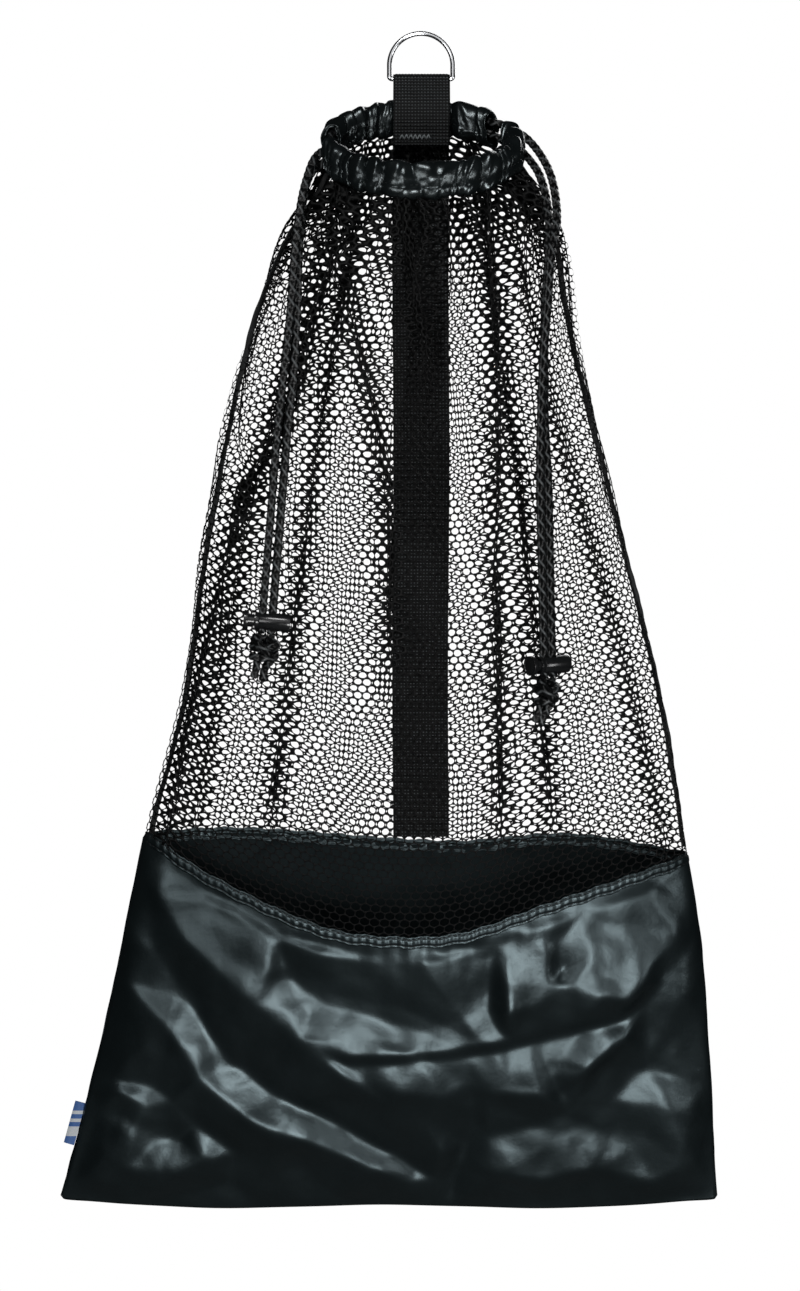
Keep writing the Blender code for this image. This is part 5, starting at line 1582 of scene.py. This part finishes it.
lock_places = {}
for side in ("left", "right"):
    up, axis = cord_up[side], lock_axis[side]
    start = Vector(PAIR_FOOT[side]) + up * LOCK_ABOVE_KNOT - axis * LOCK_CORD_STATION
    # the lock is made on Z with its cross hole along Y: Z goes to the barrel's axis and Y to the cords'
    # way up
    turn = Matrix((up.cross(axis), up, axis)).transposed().to_4x4()
    if turn.to_3x3().determinant() < 0:
        turn = Matrix((axis.cross(up), up, axis)).transposed().to_4x4()
    place = Matrix.Translation(start) @ turn
    barrel = make_barrel(f"{side}_lock_barrel_moulded")
    finish_piece(barrel, place, lock_finish, 0.00035)
    button = make_button(f"{side}_lock_button_moulded")
    finish_piece(button, place, lock_finish, 0.00035)
    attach(barrel, f"{side}_lock")
    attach(button, f"{side}_button")
    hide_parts(f"{side}_lock_barrel")
    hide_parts(f"{side}_lock_button")
    lock_places[side] = place
    shiny_pieces.objects.link(barrel)
    shiny_pieces.objects.link(button)

SPRING_RADIUS, SPRING_WIRE, SPRING_TURNS = 0.0030, 0.0003, 3
SPRING_SPAN, SPRING_PRESSED = (BUTTON_END + 0.0005, BARREL_FLOOR - 0.0005), 0.30
SPRING_COLOUR = (0.58, 0.59, 0.60)
spring_finish, tree, shader = new_finish("spring_wire", SPRING_COLOUR, 0.28, 1.0)
dye(tree, shader, SPRING_COLOUR, 500.0, 0.2)
drawing = tree.nodes.new("ShaderNodeTexNoise")
drawing.inputs["Scale"].default_value = 1500.0
drawing_place = tree.nodes.new("ShaderNodeTexCoord")
tree.links.new(drawing_place.outputs["Object"], drawing.inputs["Vector"])
add_bump(tree, shader, drawing.outputs["Fac"], 0.3, 0.0001)
for side in ("left", "right"):
    coil = []
    for i in range(SPRING_TURNS * 24 + 1):
        turn = 2 * math.pi * i / 24
        level = SPRING_SPAN[0] + (SPRING_SPAN[1] - SPRING_SPAN[0]) * i / (SPRING_TURNS * 24)
        wire_centre = Vector((SPRING_RADIUS * math.cos(turn), SPRING_RADIUS * math.sin(turn), level))
        coil.append(lock_places[side] @ wire_centre)
    spring_curve = bpy.data.curves.new(f"{side}_coil", "CURVE")
    spring_curve.dimensions = "3D"
    spring_curve.bevel_depth = SPRING_WIRE
    spring_curve.bevel_resolution = 2
    spring_curve.use_fill_caps = True
    wire = spring_curve.splines.new("POLY")
    wire.points.add(len(coil) - 1)
    for spot, point in zip(wire.points, coil):
        spot.co = (*point, 1.0)
    spring = bpy.data.objects.new(f"{side}_coil_spring", spring_curve)
    scene.collection.objects.link(spring)
    for other in bpy.context.selected_objects:
        other.select_set(False)
    spring.select_set(True)
    bpy.context.view_layer.objects.active = spring
    bpy.ops.object.convert(target="MESH")
    bpy.ops.object.shade_smooth()
    spring.select_set(False)
    spring.data.materials.append(spring_finish)
    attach(spring, f"{side}_lock")
    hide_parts(f"{side}_lock_spring")
    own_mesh(spring)

# ---------------------------------------------------------------------------------------------
# Cord knots: the two ends of each cord are tied together in an overhand knot, pulled tight, with
# short tails cut off below it and their ends melted.
# ---------------------------------------------------------------------------------------------
KNOT_TURNS = 1.9
KNOT_HALF_WIDTH, KNOT_HALF_DEPTH = {"left": 0.0084, "right": 0.0066}, 0.0060
KNOT_TAIL_SWING = {"left": -0.0030, "right": -0.0080}
KNOT_WRAP_TOP, KNOT_WRAP_FOOT, KNOT_FOOT = 0.0034, 0.0152, 0.0303
knots = {}
for side in ("left", "right"):
    up = cord_up[side]
    down = -up
    wide = (Vector((1.0, 0.0, 0.0)) - up * up.x).normalized()
    fore = up.cross(wide) * -1.0
    if fore.y > 0:
        fore = -fore
    top = Vector(PAIR_FOOT[side])
    strand_radius = CORD_RADIUS * 0.93
    knots[side] = []

    def knot_spot(x, y, z):
        """A point in the knot: x to the right, y towards the front, z down from the strands' foot."""
        swing = KNOT_TAIL_SWING[side] * (z / KNOT_FOOT) ** 2
        return top + wide * x + fore * y + down * z + Vector((swing, 0.0, 0.0))

    half_width = KNOT_HALF_WIDTH[side] - strand_radius * 0.25
    wrap = []
    for i in range(61):
        part = i / 60
        turn = math.radians(200.0) + 2 * math.pi * KNOT_TURNS * part
        z = KNOT_WRAP_TOP + (KNOT_WRAP_FOOT - KNOT_WRAP_TOP) * part
        wave = 0.0012 * math.sin(turn * 1.0 + 0.6)
        wrap.append(knot_spot(half_width * math.cos(turn), KNOT_HALF_DEPTH * math.sin(turn), z + wave))
    wrap_path = smooth_route(wrap, 0.0010)
    knots[side].append(add_braid(f"{side}_knot_wrap", wrap_path, strand_radius, cord_finish, 16))
    crossing = [knot_spot(x * half_width, y, z) for x, y, z in (
        (-0.55, 0.0010, 0.0012), (-0.75, 0.0048, 0.0040), (-0.20, 0.0082, 0.0078), (0.45, 0.0072, 0.0122),
        (0.72, 0.0028, 0.0160), (0.40, 0.0, 0.0205), (0.34, 0.0, 0.0262), (0.40, 0.0, KNOT_FOOT))]
    knots[side].append(add_braid(f"{side}_knot_front_tail", smooth_route(crossing, 0.0010), strand_radius,
                                 cord_finish, 16))
    through = [knot_spot(x * half_width, y, z) for x, y, z in (
        (0.50, 0.0, 0.0010), (0.30, -0.0040, 0.0060), (-0.15, -0.0046, 0.0120), (-0.40, -0.0010, 0.0180),
        (-0.36, 0.0, 0.0240), (-0.42, 0.0, KNOT_FOOT - 0.0016))]
    knots[side].append(add_braid(f"{side}_knot_back_tail", smooth_route(through, 0.0010), strand_radius,
                                 cord_finish, 16))
    for piece in knots[side]:
        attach(piece, "bag")
    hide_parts(f"{side}_cord_knot")

for name, path in strand_paths.items():
    side, _, strand = name.split("_")[:3]
    piece = add_braid(f"{side}_{strand}_cord", path, CORD_RADIUS, cord_finish)
    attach(piece, "bag")
    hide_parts(name)
